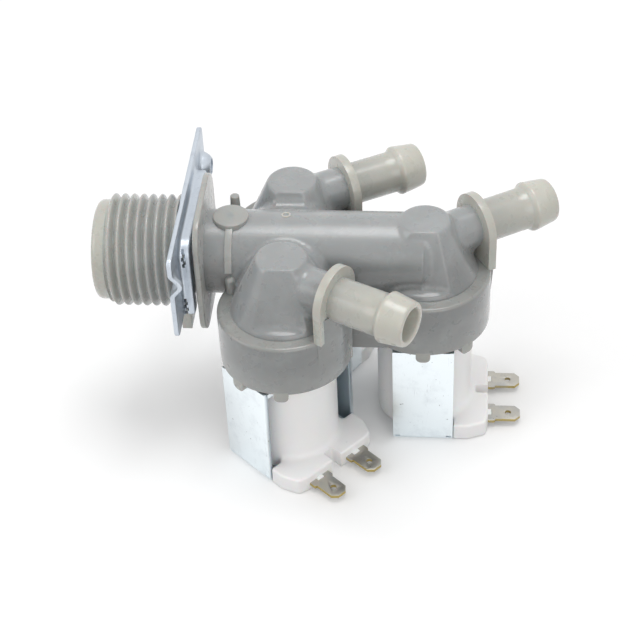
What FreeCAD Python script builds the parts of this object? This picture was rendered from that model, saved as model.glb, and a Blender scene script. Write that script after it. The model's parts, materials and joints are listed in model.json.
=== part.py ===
import FreeCAD, Part
import math
import os

# Washing machine inlet valve: one inlet, three solenoid valves, three hose nozzles.
# Frame: X along the inlet axis into the machine, Z up, origin on the inlet axis
# where the mounting plate's outer face meets the cabinet. Millimetres.

# Heights and places, measured from the inlet axis
AXIS_HEIGHT = 47.7
VALVE_GAP = 29.8
PAIR_X = 25.4
END_X = 58.0
NOZZLE_Z = 3.9
RIM_Z = -18.4
SHOULDER_Z = -4.3
DOME_TOP_Z = 10.4
SEAT_Z = -12.6
LEDGE_Z = -13.0

# Inlet connection and manifold
THREAD_OD = 26.9
NOSE_OD = 24.1
NOSE_LENGTH = 3.6
THREAD_LENGTH = 16.6
NOSE_ROUND = 0.9
INLET_BORE = 18.6
INLET_BORE_END = -5.0
MANIFOLD_OD = 20.2
MANIFOLD_BORE = 15.2
MANIFOLD_BORE_GAP = 6.2
PASSAGE_BORE = 5.0
PASSAGE_TOP_Z = -2.5

# Plastic collar and flange that hold the mounting plate
COLLAR_WIDTH = 22.4
COLLAR_TOP = 9.2
COLLAR_BOTTOM = -16.5
COLLAR_DEPTH = 2.4
COLLAR_CORNER = 1.2
FLANGE_X = 4.9
FLANGE_THICKNESS = 1.4
FLANGE_HALF_WIDTH = 14.2
FLANGE_HALF_HEIGHT = 15.8
FLANGE_CORNER = 5.0

# Boss, strap and pins on the manifold's neck
DISC_X = 12.2
DISC_RADIUS = 4.26
DISC_TOP_Z = 10.8
DISC_THICKNESS = 1.6
STRAP_WIDTH = 1.7
STRAP_HEIGHT = 0.7
PIN_RADIUS = 1.3
PIN_TIP_RADIUS = 0.8
PIN_TOP_Z = 9.4
PIN_Y = 9.6
LUG_RADIUS = 1.3

# Valve chamber and dome
CHAMBER_OD = 31.6
CHAMBER_ROUND = 2.0
CHAMBER_BORE = 27.8
ANNULUS_BORE = 23.2
ANNULUS_TOP_Z = -8.8
SEAT_OD = 11.4
DUCT_BORE = 7.8
DOME_BASE_RADIUS = 12.6
DOME_TOP_RADIUS = 6.2
DOME_ROUND = 1.6
FACET_TOP_OFFSET = 5.0
FACET_BASE_OFFSET = 10.8
NUB_ANGLES = (-90.0, -48.0, 48.0, 90.0)
NUB_WIDTH = 3.4
NUB_DEPTH = 1.8
NUB_RING_RADIUS = 14.5

# Hose nozzles with their collars
NOZZLE_OD = 10.3
NOZZLE_BORE = 7.2
BARB_START = 27.1
BARB_LAND = 2.2
BARB_OD = 12.4
NOZZLE_END = 34.1
NOZZLE_END_OD = 10.4
SHIELD_START = 12.4
SHIELD_THICKNESS = 2.0
SHIELD_RADIUS = 8.2
SHIELD_BOTTOM_Z = -6.0

# Mounting plate of folded and drawn steel
PLATE_THICKNESS = 1.2
PLATE_NEAR_Y = -21.5
PLATE_FAR_Y = 34.0
PLATE_TOP_Z = 13.2
PLATE_BOTTOM_Z = -13.6
PLATE_CORNER = 2.0
PAD_NEAR_Y = -12.6
PAD_FAR_Y = 21.0
PAD_HEIGHT = 2.5
PAD_CLEARANCE = 0.15
PAD_CORNER = 2.4
NECK_CLEARANCE = 0.3
NOTCH_Z = 2.0
NOTCH_RADIUS = 3.4
NOTCH_DEPTH = 7.0
TONGUE_WIDTH = 7.6
TONGUE_DROP = 3.4
SCREW_Y = 28.4
SCREW_Z = 4.6
SCREW_BORE = 3.8
SCREW_BOSS_OD = 6.2
SCREW_BOSS_HEIGHT = 2.6

# Strainer and flow regulator in the inlet
STRAINER_CLEARANCE = 0.1
STRAINER_RIM_X = -16.4
STRAINER_RIM = 1.5
STRAINER_WALL = 0.9
STRAINER_BASKET_OD = 13.0
STRAINER_LENGTH = 7.6
STRAINER_SLOTS = 10
STRAINER_SLOT_WIDTH = 1.7
REGULATOR_THICKNESS = 1.6
REGULATOR_WASHER = 1.8
REGULATOR_WASHER_OD = 13.0
REGULATOR_ORIFICE = 4.4
REGULATOR_HOLE = 2.0
REGULATOR_HOLES = 8

# Diaphragm, insert and guide tube
FIT_CLEARANCE = 0.1
BEAD_THICKNESS = 1.7
WEB_THICKNESS = 1.0
INSERT_STEM_OD = 5.0
INSERT_DISC_OD = 16.0
INSERT_DISC_THICKNESS = 1.2
INSERT_HEAD_OD = 6.8
INSERT_HEAD_HEIGHT = 2.1
PILOT_OD = 3.2
PILOT_HEIGHT = 1.0
PILOT_BORE = 1.2
BONNET_FLANGE_THICKNESS = 3.5
BONNET_FLOOR = 1.4
BONNET_RECESS = 22.8
TUBE_BORE = 8.3
TUBE_WALL = 0.85
TUBE_END = 1.0

# Armature with its rubber seal and spring
ARMATURE_CLEARANCE = 0.08
ARMATURE_LENGTH = 24.0
ARMATURE_STROKE = 2.2
ARMATURE_SPARE = 0.4
SEAL_OD = 4.6
SEAL_DEPTH = 2.4
SEAL_STAND = 0.7
SEAL_GAP = 0.05
SPRING_POCKET = 5.0
SPRING_POCKET_DEPTH = 6.0
SPRING_OD = 4.4
SPRING_WIRE = 0.5
SPRING_TURNS = 5
SPRING_STEPS = 12
SPRING_SIDES = 8

# Coil, yoke and terminals
WINDING_DEPTH = 3.6
SHELL_ROUND = 0.8
SHELL_WALL = 1.1
BOBBIN_WALL = 0.7
BOBBIN_FLANGE = 1.2
WINDING_GAP = 0.4
SLEEVE_WALL = 0.8
SLEEVE_LENGTH = 8.0
YOKE_WIDTH = 14.8
YOKE_SIDE_GAP = 1.45
YOKE_THICKNESS = 1.2
YOKE_BEND = 1.6
YOKE_CHAMFER = 1.2
YOKE_RIM_GAP = 0.4
CAP_DROP = 0.5
BLOCK_BEYOND = 4.3
BLOCK_SIDE_GAP = 0.05
BLOCK_HEIGHT = 4.6
BLOCK_FACE_IN = 3.9
BLOCK_SHOULDER = 5.2
BLOCK_CORNER = 0.8
BLOCK_CORNER_IN = 1.5
BLOCK_NOTCH_WIDTH = 3.0
BLOCK_NOTCH_DEPTH = 3.2
TERMINAL_SPACING = 12.2
TERMINAL_WIDTH = 4.8
TERMINAL_ROOT_WIDTH = 6.0
TERMINAL_ROOT = 2.0
TERMINAL_LENGTH = 8.1
TERMINAL_THICKNESS = 0.8
TERMINAL_HEIGHT = 1.5
TERMINAL_INSIDE = 6.5
TERMINAL_HOLE = 1.5
TERMINAL_HOLE_PLACE = 5.15
TERMINAL_TIP_CHAMFER = 1.2

# Name, centre, nozzle direction and coil direction of each valve, in degrees from +X
VALVES = (
    ("front", PAIR_X, -VALVE_GAP / 2, -27.0, -42.0),
    ("rear", PAIR_X, VALVE_GAP / 2, 28.8, 54.0),
    ("end", END_X, 0.0, 30.5, 0.0),
)

# Sizes that follow from the ones above
FLOOR_Z = -AXIS_HEIGHT
BONNET_TOP_Z = LEDGE_Z - BEAD_THICKNESS
BONNET_BASE_Z = BONNET_TOP_Z - BONNET_FLANGE_THICKNESS
RECESS_FLOOR_Z = BONNET_BASE_Z + BONNET_FLOOR
INSERT_TOP_Z = SEAT_Z - WEB_THICKNESS
PILOT_Z = INSERT_TOP_Z - INSERT_DISC_THICKNESS - PILOT_HEIGHT
SEAL_TOP_Z = PILOT_Z - SEAL_GAP
ARMATURE_TOP_Z = SEAL_TOP_Z - SEAL_STAND
ARMATURE_BASE_Z = ARMATURE_TOP_Z - ARMATURE_LENGTH
TUBE_FLOOR_Z = ARMATURE_BASE_Z - ARMATURE_STROKE - ARMATURE_SPARE
TUBE_END_Z = TUBE_FLOOR_Z - TUBE_END
TUBE_RADIUS = TUBE_BORE / 2 + TUBE_WALL
ARM_TOP_Z = RIM_Z - YOKE_RIM_GAP
CAP_TOP_Z = ARM_TOP_Z - CAP_DROP
COIL_TOP_Z = CAP_TOP_Z - YOKE_THICKNESS
COIL_BASE_Z = FLOOR_Z + YOKE_THICKNESS
SLEEVE_RADIUS = TUBE_RADIUS + FIT_CLEARANCE + SLEEVE_WALL
BOBBIN_RADIUS = SLEEVE_RADIUS + BOBBIN_WALL
POCKET_RADIUS = BOBBIN_RADIUS + WINDING_DEPTH + WINDING_GAP
SHELL_RADIUS = POCKET_RADIUS + SHELL_WALL
YOKE_HALF_SPAN = SHELL_RADIUS + YOKE_SIDE_GAP + YOKE_THICKNESS
BLOCK_HALF_WIDTH = YOKE_HALF_SPAN - YOKE_THICKNESS - BLOCK_SIDE_GAP
BLOCK_REACH = SHELL_RADIUS + BLOCK_BEYOND
TERMINAL_INNER = BLOCK_REACH - TERMINAL_INSIDE
TERMINAL_ROOT_REACH = BLOCK_REACH + TERMINAL_ROOT
TERMINAL_REACH = BLOCK_REACH + TERMINAL_LENGTH
TERMINAL_HOLE_REACH = BLOCK_REACH + TERMINAL_HOLE_PLACE
POCKET_TOP_Z = COIL_TOP_Z - SHELL_WALL
POCKET_BASE_Z = COIL_BASE_Z + SHELL_WALL
TERMINAL_Z = FLOOR_Z + TERMINAL_HEIGHT

UP = FreeCAD.Vector(0, 0, 1)
ALONG = FreeCAD.Vector(1, 0, 0)


def vec(x, y, z):
    return FreeCAD.Vector(x, y, z)


def upright(radius, low, high, x=0.0, y=0.0):
    """Cylinder about a vertical axis."""
    return Part.makeCylinder(radius, high - low, vec(x, y, low), UP)


def lying(radius, start, end, y=0.0, z=0.0):
    """Cylinder along X."""
    return Part.makeCylinder(radius, end - start, vec(start, y, z), ALONG)


def block(x0, x1, y0, y1, z0, z1):
    return Part.makeBox(x1 - x0, y1 - y0, z1 - z0, vec(x0, y0, z0))


def polygon(points):
    """Closed flat face through the given points."""
    return Part.Face(Part.makePolygon([vec(*p) for p in points + points[:1]]))


def turned(profile):
    """Solid of revolution about Z from (radius, height) points."""
    face = polygon([(radius, 0.0, height) for radius, height in profile])
    return face.revolve(vec(0, 0, 0), UP, 360)


def joined(shapes):
    return shapes[0].multiFuse(shapes[1:]).removeSplitter()


def stepped_along(profile):
    """Round bar along X, stacked from cylinders and cones through (place, radius) points."""
    lengths = []
    for (start, first), (end, last) in zip(profile, profile[1:]):
        if abs(first - last) < 1e-6:
            lengths.append(lying(first, start, end))
        else:
            lengths.append(Part.makeCone(first, last, end - start, vec(start, 0, 0), ALONG))
    return joined(lengths)


def top_edges(shape, height):
    """Edges that lie wholly in the horizontal plane at the given height."""
    found = []
    for edge in shape.Edges:
        box = edge.BoundBox
        if abs(box.ZMin - height) < 1e-4 and abs(box.ZMax - height) < 1e-4:
            found.append(edge)
    return found


def edges_along_x(shape, low, high):
    """Straight edges parallel to X between two places."""
    found = []
    for edge in shape.Edges:
        box = edge.BoundBox
        flat = box.YLength < 1e-4 and box.ZLength < 1e-4
        if flat and box.XMin > low - 1e-4 and box.XMax < high + 1e-4:
            found.append(edge)
    return found


def placed(shape, x, y, angle):
    """Turn a piece about Z at the origin, then move it to its valve."""
    moved = shape.copy()
    turn = FreeCAD.Placement(vec(x, y, 0), FreeCAD.Rotation(UP, angle))
    moved.Placement = turn.multiply(shape.Placement)
    return moved


# The moulded body

def inlet_nose():
    nose_x = -THREAD_LENGTH - NOSE_LENGTH
    nose = NOSE_OD / 2
    thread = THREAD_OD / 2
    lead_in = thread - nose
    return stepped_along([
        (nose_x, nose - NOSE_ROUND), (nose_x + NOSE_ROUND, nose), (-THREAD_LENGTH, nose),
        (-THREAD_LENGTH + lead_in, thread), (0.0, thread),
    ])


def plate_collar():
    """Square collar that the plate's drawn pad slides over, with the flange behind it."""
    half = COLLAR_WIDTH / 2
    collar = block(0.0, COLLAR_DEPTH, -half, half, COLLAR_BOTTOM, COLLAR_TOP)
    upper = [edge for edge in edges_along_x(collar, 0.0, COLLAR_DEPTH)
             if edge.BoundBox.ZMin > 0]
    collar = collar.makeFillet(COLLAR_CORNER, upper)
    flange = block(FLANGE_X, FLANGE_X + FLANGE_THICKNESS, -FLANGE_HALF_WIDTH,
                   FLANGE_HALF_WIDTH, -FLANGE_HALF_HEIGHT, FLANGE_HALF_HEIGHT)
    corners = edges_along_x(flange, FLANGE_X, FLANGE_X + FLANGE_THICKNESS)
    return [collar, flange.makeFillet(FLANGE_CORNER, corners)]


def neck_details():
    """Gate disc on its stem, the strap round the neck, a lug and a tapered pin."""
    radius = MANIFOLD_OD / 2
    disc = upright(DISC_RADIUS, DISC_TOP_Z - DISC_THICKNESS, DISC_TOP_Z, DISC_X)
    stem = upright(DISC_RADIUS * 0.6, 0.0, DISC_TOP_Z, DISC_X)
    strap = lying(radius + STRAP_HEIGHT, DISC_X - STRAP_WIDTH / 2, DISC_X + STRAP_WIDTH / 2)
    upper = block(DISC_X - STRAP_WIDTH, DISC_X + STRAP_WIDTH,
                  -2 * radius, 2 * radius, 0.0, 2 * radius)
    pin = Part.makeCone(PIN_RADIUS, PIN_TIP_RADIUS, PIN_TOP_Z, vec(DISC_X, PIN_Y, 0), UP)
    lugs = [Part.makeSphere(LUG_RADIUS, vec(DISC_X, side * radius, 0)) for side in (-1, 1)]
    return [disc, stem, strap.common(upper), pin] + lugs


def dome():
    """Tapered dome over the valve seat, cut by one sloping flat."""
    cone = Part.makeCone(DOME_BASE_RADIUS, DOME_TOP_RADIUS, DOME_TOP_Z - SHOULDER_Z,
                         vec(0, 0, SHOULDER_Z), UP)
    cone = cone.makeFillet(DOME_ROUND, top_edges(cone, DOME_TOP_Z))
    reach = 2 * CHAMBER_OD
    facet = Part.Face(Part.makePolygon([
        vec(-reach, -FACET_BASE_OFFSET, SHOULDER_Z), vec(-reach, -FACET_TOP_OFFSET, DOME_TOP_Z),
        vec(-reach, -reach, DOME_TOP_Z), vec(-reach, -reach, SHOULDER_Z),
        vec(-reach, -FACET_BASE_OFFSET, SHOULDER_Z)]))
    return cone.cut(facet.extrude(vec(2 * reach, 0, 0)))


def chamber():
    cup = upright(CHAMBER_OD / 2, RIM_Z, SHOULDER_Z)
    return cup.makeFillet(CHAMBER_ROUND, top_edges(cup, SHOULDER_Z))


def rim_nubs():
    """Short teeth below the rim that index the coil's yoke."""
    nubs = []
    ring = upright(CHAMBER_OD / 2, RIM_Z - NUB_DEPTH, RIM_Z + NUB_DEPTH).cut(
        upright(NUB_RING_RADIUS, RIM_Z - 2 * NUB_DEPTH, RIM_Z + 2 * NUB_DEPTH))
    for angle in NUB_ANGLES:
        sector = block(0.0, CHAMBER_OD, -NUB_WIDTH / 2, NUB_WIDTH / 2,
                       RIM_Z - 2 * NUB_DEPTH, RIM_Z + 2 * NUB_DEPTH)
        sector.rotate(vec(0, 0, 0), UP, angle)
        nubs.append(ring.common(sector))
    return nubs


def nozzle():
    """Pipe with one hose barb and the shield that stands between it and the dome."""
    pipe = NOZZLE_OD / 2
    barb = BARB_OD / 2
    end = NOZZLE_END_OD / 2
    lead = barb - pipe
    spout = stepped_along([
        (0.0, pipe), (BARB_START - lead, pipe), (BARB_START, barb),
        (BARB_START + BARB_LAND, barb), (NOZZLE_END, end),
    ])
    spout.translate(vec(0, 0, NOZZLE_Z))
    shield = lying(SHIELD_RADIUS, SHIELD_START, SHIELD_START + SHIELD_THICKNESS, 0.0, NOZZLE_Z)
    foot = block(SHIELD_START, SHIELD_START + SHIELD_THICKNESS, -SHIELD_RADIUS, SHIELD_RADIUS,
                 SHIELD_BOTTOM_Z, NOZZLE_Z)
    return [spout, shield, foot]


def chamber_cavities():
    """Diaphragm bore, ring channel round the seat, and the bent outlet duct."""
    bore = upright(CHAMBER_BORE / 2, RIM_Z - 2 * NUB_DEPTH, LEDGE_Z)
    ring = upright(ANNULUS_BORE / 2, LEDGE_Z - 1.0, ANNULUS_TOP_Z)
    seat = upright(SEAT_OD / 2, SEAT_Z, ANNULUS_TOP_Z + 1.0)
    duct = upright(DUCT_BORE / 2, SEAT_Z - 1.0, NOZZLE_Z)
    bend = Part.makeSphere(DUCT_BORE / 2, vec(0, 0, NOZZLE_Z))
    outlet = lying(NOZZLE_BORE / 2, 0.0, NOZZLE_END + 1.0, 0.0, NOZZLE_Z)
    return [bore.fuse(ring).cut(seat), duct.fuse(bend), outlet]


def passages():
    """Drillings from the manifold down into each ring channel."""
    mid = (SEAT_OD + ANNULUS_BORE) / 4
    radius = PASSAGE_BORE / 2
    low = ANNULUS_TOP_Z - 1.0
    holes = [upright(radius, low, PASSAGE_TOP_Z, END_X - mid, 0.0)]
    for side in (-1, 1):
        holes.append(upright(radius, low, PASSAGE_TOP_Z, PAIR_X, side * (VALVE_GAP / 2 - mid)))
    return holes


def valve_body():
    outside = [inlet_nose(), lying(MANIFOLD_OD / 2, -1.0, END_X)]
    outside += plate_collar() + neck_details()
    inside = [
        lying(INLET_BORE / 2, -THREAD_LENGTH - NOSE_LENGTH - 1.0, INLET_BORE_END),
        lying(MANIFOLD_BORE / 2, INLET_BORE_END - 1.0, END_X - MANIFOLD_BORE_GAP),
    ]
    inside += passages()
    for _, x, y, nozzle_angle, coil_angle in VALVES:
        outside += [placed(dome(), x, y, 0.0), placed(chamber(), x, y, 0.0)]
        outside += [placed(piece, x, y, nozzle_angle) for piece in nozzle()]
        outside += [placed(nub, x, y, coil_angle) for nub in rim_nubs()]
        inside += [placed(hollow, x, y, nozzle_angle) for hollow in chamber_cavities()]
    return joined(outside).cut(inside).removeSplitter()


# Pieces at the inlet

def mounting_plate():
    """Sheet steel fork with a drawn pad, a screw boss, a notch and a tongue."""
    flat = block(0.0, PLATE_THICKNESS, PLATE_NEAR_Y, PLATE_FAR_Y, PLATE_BOTTOM_Z, PLATE_TOP_Z)
    flat = flat.makeFillet(PLATE_CORNER, edges_along_x(flat, 0.0, PLATE_THICKNESS))
    tongue = block(0.0, PLATE_THICKNESS, PLATE_NEAR_Y, PLATE_NEAR_Y + TONGUE_WIDTH,
                   PLATE_BOTTOM_Z - TONGUE_DROP, PLATE_BOTTOM_Z + 2 * PLATE_CORNER)
    tongue = tongue.makeFillet(TONGUE_WIDTH / 2 - 0.2, edges_along_x(tongue, 0.0, PLATE_THICKNESS))
    pad_top = COLLAR_TOP + PAD_CLEARANCE
    outer = block(0.0, PLATE_THICKNESS + PAD_HEIGHT, PAD_NEAR_Y, PAD_FAR_Y,
                  PLATE_BOTTOM_Z, pad_top + PLATE_THICKNESS)
    edges = [e for e in edges_along_x(outer, 0.0, PLATE_THICKNESS + PAD_HEIGHT)
             if e.BoundBox.ZMin > 0]
    outer = outer.makeFillet(PAD_CORNER, edges)
    inner = block(-1.0, PAD_HEIGHT, PAD_NEAR_Y + PLATE_THICKNESS, PAD_FAR_Y - PLATE_THICKNESS,
                  PLATE_BOTTOM_Z - 1.0, pad_top)
    edges = [e for e in edges_along_x(inner, -1.0, PAD_HEIGHT) if e.BoundBox.ZMin > 0]
    inner = inner.makeFillet(PAD_CORNER - PLATE_THICKNESS, edges)
    slot_radius = MANIFOLD_OD / 2 + NECK_CLEARANCE
    slot = lying(slot_radius, -1.0, 2 * PAD_HEIGHT).fuse(
        block(-1.0, 2 * PAD_HEIGHT, -slot_radius, slot_radius, 2 * PLATE_BOTTOM_Z, 0.0))
    boss = lying(SCREW_BOSS_OD / 2, 0.0, PLATE_THICKNESS + SCREW_BOSS_HEIGHT, SCREW_Y, SCREW_Z)
    hole = lying(SCREW_BORE / 2, -1.0, 2 * SCREW_BOSS_HEIGHT, SCREW_Y, SCREW_Z)
    notch_y = PLATE_NEAR_Y + NOTCH_DEPTH - NOTCH_RADIUS
    notch = lying(NOTCH_RADIUS, -1.0, 2 * PLATE_THICKNESS, notch_y, NOTCH_Z).fuse(
        block(-1.0, 2 * PLATE_THICKNESS, PLATE_NEAR_Y - 1.0, notch_y,
              NOTCH_Z - NOTCH_RADIUS, NOTCH_Z + NOTCH_RADIUS))
    sheet = joined([flat, tongue, outer, boss])
    return sheet.cut(joined([inner, slot, hole, notch])).removeSplitter()


def inlet_strainer():
    """Slotted basket with a rim that grips the inlet bore."""
    rim = INLET_BORE / 2 - STRAINER_CLEARANCE / 2
    basket = STRAINER_BASKET_OD / 2
    end = STRAINER_RIM_X + STRAINER_LENGTH
    flange = lying(rim, STRAINER_RIM_X, STRAINER_RIM_X + STRAINER_RIM)
    cone = Part.makeCone(basket, basket - STRAINER_WALL, STRAINER_LENGTH,
                         vec(STRAINER_RIM_X, 0, 0), ALONG)
    hollow = Part.makeCone(basket - STRAINER_WALL, basket - 2 * STRAINER_WALL,
                           STRAINER_LENGTH - STRAINER_WALL, vec(STRAINER_RIM_X, 0, 0), ALONG)
    cup = flange.fuse(cone).cut(hollow).removeSplitter()
    slots = []
    for index in range(STRAINER_SLOTS):
        slot = block(STRAINER_RIM_X + 2 * STRAINER_RIM, end - 2 * STRAINER_WALL,
                     -STRAINER_SLOT_WIDTH / 2, STRAINER_SLOT_WIDTH / 2, basket / 2, 2 * basket)
        slot.rotate(vec(0, 0, 0), ALONG, 360.0 * index / STRAINER_SLOTS)
        slots.append(slot)
    return cup.cut(joined(slots))


def flow_holder():
    """Perforated disc on the step of the inlet bore."""
    radius = INLET_BORE / 2 - STRAINER_CLEARANCE / 2
    disc = lying(radius, INLET_BORE_END - REGULATOR_THICKNESS, INLET_BORE_END)
    ring = (MANIFOLD_BORE - REGULATOR_HOLE) / 4 + REGULATOR_ORIFICE / 4
    holes = []
    for index in range(REGULATOR_HOLES):
        angle = 2 * math.pi * index / REGULATOR_HOLES
        holes.append(lying(REGULATOR_HOLE / 2, INLET_BORE_END - 2 * REGULATOR_THICKNESS,
                           INLET_BORE_END + 1.0, ring * math.cos(angle), ring * math.sin(angle)))
    return disc.cut(joined(holes))


def flow_washer():
    """Rubber washer that keeps the flow even, in front of its holder."""
    face = INLET_BORE_END - REGULATOR_THICKNESS
    washer = lying(REGULATOR_WASHER_OD / 2, face - REGULATOR_WASHER, face)
    return washer.cut(lying(REGULATOR_ORIFICE / 2, face - 2 * REGULATOR_WASHER, face + 1.0))


# Pieces of one valve, built on the vertical axis with the terminals towards +X

def guide_tube():
    """Bonnet whose flange clamps the diaphragm and whose closed tube guides the armature."""
    flange = CHAMBER_BORE / 2 - FIT_CLEARANCE
    recess = BONNET_RECESS / 2
    bore = TUBE_BORE / 2
    return turned([
        (0.0, TUBE_END_Z), (TUBE_RADIUS, TUBE_END_Z), (TUBE_RADIUS, BONNET_BASE_Z),
        (flange, BONNET_BASE_Z), (flange, BONNET_TOP_Z), (recess, BONNET_TOP_Z),
        (recess, RECESS_FLOOR_Z), (bore, RECESS_FLOOR_Z), (bore, TUBE_FLOOR_Z),
        (0.0, TUBE_FLOOR_Z),
    ])


def diaphragm():
    """Rubber ring with a clamped bead and a thin web."""
    bead_out = CHAMBER_BORE / 2 - FIT_CLEARANCE
    bead_in = BONNET_RECESS / 2
    channel = ANNULUS_BORE / 2 - FIT_CLEARANCE
    hole = INSERT_STEM_OD / 2
    return turned([
        (hole, SEAT_Z), (channel, SEAT_Z), (channel, LEDGE_Z), (bead_out, LEDGE_Z),
        (bead_out, BONNET_TOP_Z), (bead_in, BONNET_TOP_Z), (bead_in, INSERT_TOP_Z),
        (hole, INSERT_TOP_Z),
    ])


def diaphragm_insert():
    """Rigid centre of the diaphragm with the pilot seat and its bore."""
    pilot = PILOT_OD / 2
    disc = INSERT_DISC_OD / 2
    stem = INSERT_STEM_OD / 2
    head = INSERT_HEAD_OD / 2
    bore = PILOT_BORE / 2
    return turned([
        (bore, PILOT_Z), (pilot, PILOT_Z), (pilot, PILOT_Z + PILOT_HEIGHT),
        (disc, PILOT_Z + PILOT_HEIGHT), (disc, INSERT_TOP_Z), (stem, INSERT_TOP_Z),
        (stem, SEAT_Z), (head, SEAT_Z), (stem, SEAT_Z + INSERT_HEAD_HEIGHT),
        (bore, SEAT_Z + INSERT_HEAD_HEIGHT),
    ])


def armature():
    """Soft-iron plunger with a pocket for the seal and one for the spring."""
    body = upright(TUBE_BORE / 2 - ARMATURE_CLEARANCE, ARMATURE_BASE_Z, ARMATURE_TOP_Z)
    seal = upright(SEAL_OD / 2, ARMATURE_TOP_Z - SEAL_DEPTH, ARMATURE_TOP_Z + 1.0)
    pocket = upright(SPRING_POCKET / 2, ARMATURE_BASE_Z - 1.0,
                     ARMATURE_BASE_Z + SPRING_POCKET_DEPTH)
    return body.cut(seal).cut(pocket)


def armature_seal():
    return upright(SEAL_OD / 2, ARMATURE_TOP_Z - SEAL_DEPTH, SEAL_TOP_Z)


def armature_spring():
    """Compression spring between the tube's floor and the armature's pocket."""
    wire = SPRING_WIRE / 2
    radius = SPRING_OD / 2 - wire
    low = TUBE_FLOOR_Z + wire
    high = ARMATURE_BASE_Z + SPRING_POCKET_DEPTH - wire
    count = SPRING_TURNS * SPRING_STEPS
    points = []
    for index in range(count + 1):
        angle = 2 * math.pi * index / SPRING_STEPS
        points.append(vec(radius * math.cos(angle), radius * math.sin(angle),
                          low + (high - low) * index / count))
    along = (points[1] - points[0]).normalize()
    side = UP.cross(along).normalize()
    rise = along.cross(side)
    ring = []
    for index in range(SPRING_SIDES):
        angle = 2 * math.pi * (index + 0.5) / SPRING_SIDES
        ring.append(points[0] + side * (wire * math.cos(angle)) + rise * (wire * math.sin(angle)))
    section = Part.makePolygon(ring + ring[:1])
    return Part.makePolygon(points).makePipeShell([section], True, False, 1)


def bobbin():
    """Plastic spool under the winding."""
    reel = upright(BOBBIN_RADIUS, POCKET_BASE_Z, POCKET_TOP_Z)
    for low in (POCKET_BASE_Z, POCKET_TOP_Z - BOBBIN_FLANGE):
        reel = reel.fuse(upright(POCKET_RADIUS, low, low + BOBBIN_FLANGE))
    return reel.cut(upright(SLEEVE_RADIUS, COIL_BASE_Z, COIL_TOP_Z)).removeSplitter()


def coil_winding():
    low = POCKET_BASE_Z + BOBBIN_FLANGE
    high = POCKET_TOP_Z - BOBBIN_FLANGE
    return upright(POCKET_RADIUS - WINDING_GAP, low, high).cut(upright(BOBBIN_RADIUS, low, high))


def flux_sleeve(low):
    bush = upright(SLEEVE_RADIUS, low, low + SLEEVE_LENGTH)
    return bush.cut(upright(TUBE_RADIUS + FIT_CLEARANCE, low - 1.0, low + SLEEVE_LENGTH + 1.0))


def terminal_block():
    """Low block at the foot of the coil that carries the two blades."""
    start = YOKE_WIDTH / 2 + FIT_CLEARANCE
    side = BLOCK_HALF_WIDTH
    shoulder = BLOCK_REACH - BLOCK_SHOULDER
    corner = BLOCK_REACH - BLOCK_CORNER
    face = side - BLOCK_FACE_IN
    outline = [
        (start, -side), (shoulder, -side), (corner, BLOCK_CORNER_IN - side),
        (BLOCK_REACH, -face), (BLOCK_REACH, face), (corner, side - BLOCK_CORNER_IN),
        (shoulder, side), (start, side),
    ]
    footprint = polygon([(x, y, FLOOR_Z) for x, y in outline])
    slab = footprint.extrude(vec(0, 0, BLOCK_HEIGHT))
    notch = block(BLOCK_REACH - BLOCK_NOTCH_DEPTH, 2 * BLOCK_REACH, -BLOCK_NOTCH_WIDTH / 2,
                  BLOCK_NOTCH_WIDTH / 2, FLOOR_Z - 1.0, COIL_TOP_Z)
    return slab.cut(notch)


def coil_shell():
    """White overmould round the winding, with the terminal block at its foot."""
    can = upright(SHELL_RADIUS, COIL_BASE_Z, COIL_TOP_Z)
    can = can.makeFillet(SHELL_ROUND, top_edges(can, COIL_TOP_Z))
    whole = can.fuse(terminal_block())
    pocket = upright(POCKET_RADIUS, POCKET_BASE_Z, POCKET_TOP_Z)
    bore = upright(SLEEVE_RADIUS, COIL_BASE_Z - 1.0, COIL_TOP_Z + 1.0)
    whole = whole.cut(pocket.fuse(bore))
    for side in (-1, 1):
        whole = whole.cut(terminal_blank(side))
    return whole.removeSplitter()


def terminal_blank(side):
    """Outline of one blade, with its wide root and chamfered tip."""
    middle = side * TERMINAL_SPACING / 2
    wide = TERMINAL_ROOT_WIDTH / 2
    half = TERMINAL_WIDTH / 2
    tip = TERMINAL_REACH - TERMINAL_TIP_CHAMFER
    outline = [
        (TERMINAL_INNER, middle - wide), (TERMINAL_ROOT_REACH, middle - wide),
        (TERMINAL_ROOT_REACH, middle - half), (tip, middle - half),
        (TERMINAL_REACH, middle - half + TERMINAL_TIP_CHAMFER),
        (TERMINAL_REACH, middle + half - TERMINAL_TIP_CHAMFER), (tip, middle + half),
        (TERMINAL_ROOT_REACH, middle + half), (TERMINAL_ROOT_REACH, middle + wide),
        (TERMINAL_INNER, middle + wide),
    ]
    face = polygon([(x, y, TERMINAL_Z) for x, y in outline])
    return face.extrude(vec(0, 0, TERMINAL_THICKNESS))


def terminal(side):
    hole = upright(TERMINAL_HOLE / 2, TERMINAL_Z - 1.0, TERMINAL_Z + 2 * TERMINAL_THICKNESS,
                   TERMINAL_HOLE_REACH, side * TERMINAL_SPACING / 2)
    return terminal_blank(side).cut(hole)


def yoke():
    """U-shaped steel frame: a foot under the coil and two arms beside it."""
    half = YOKE_WIDTH / 2
    span = YOKE_HALF_SPAN
    outer = block(-half, half, -span, span, FLOOR_Z, ARM_TOP_Z)
    outer = outer.makeFillet(YOKE_BEND, [e for e in edges_along_x(outer, -half, half)
                                         if e.BoundBox.ZMax < FLOOR_Z + 1.0])
    inner = block(-2 * half, 2 * half, -span + YOKE_THICKNESS, span - YOKE_THICKNESS,
                  COIL_BASE_Z, ARM_TOP_Z + 1.0)
    return outer.cut(inner).cut(upright(SLEEVE_RADIUS, FLOOR_Z - 1.0, COIL_BASE_Z + 1.0))


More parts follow.
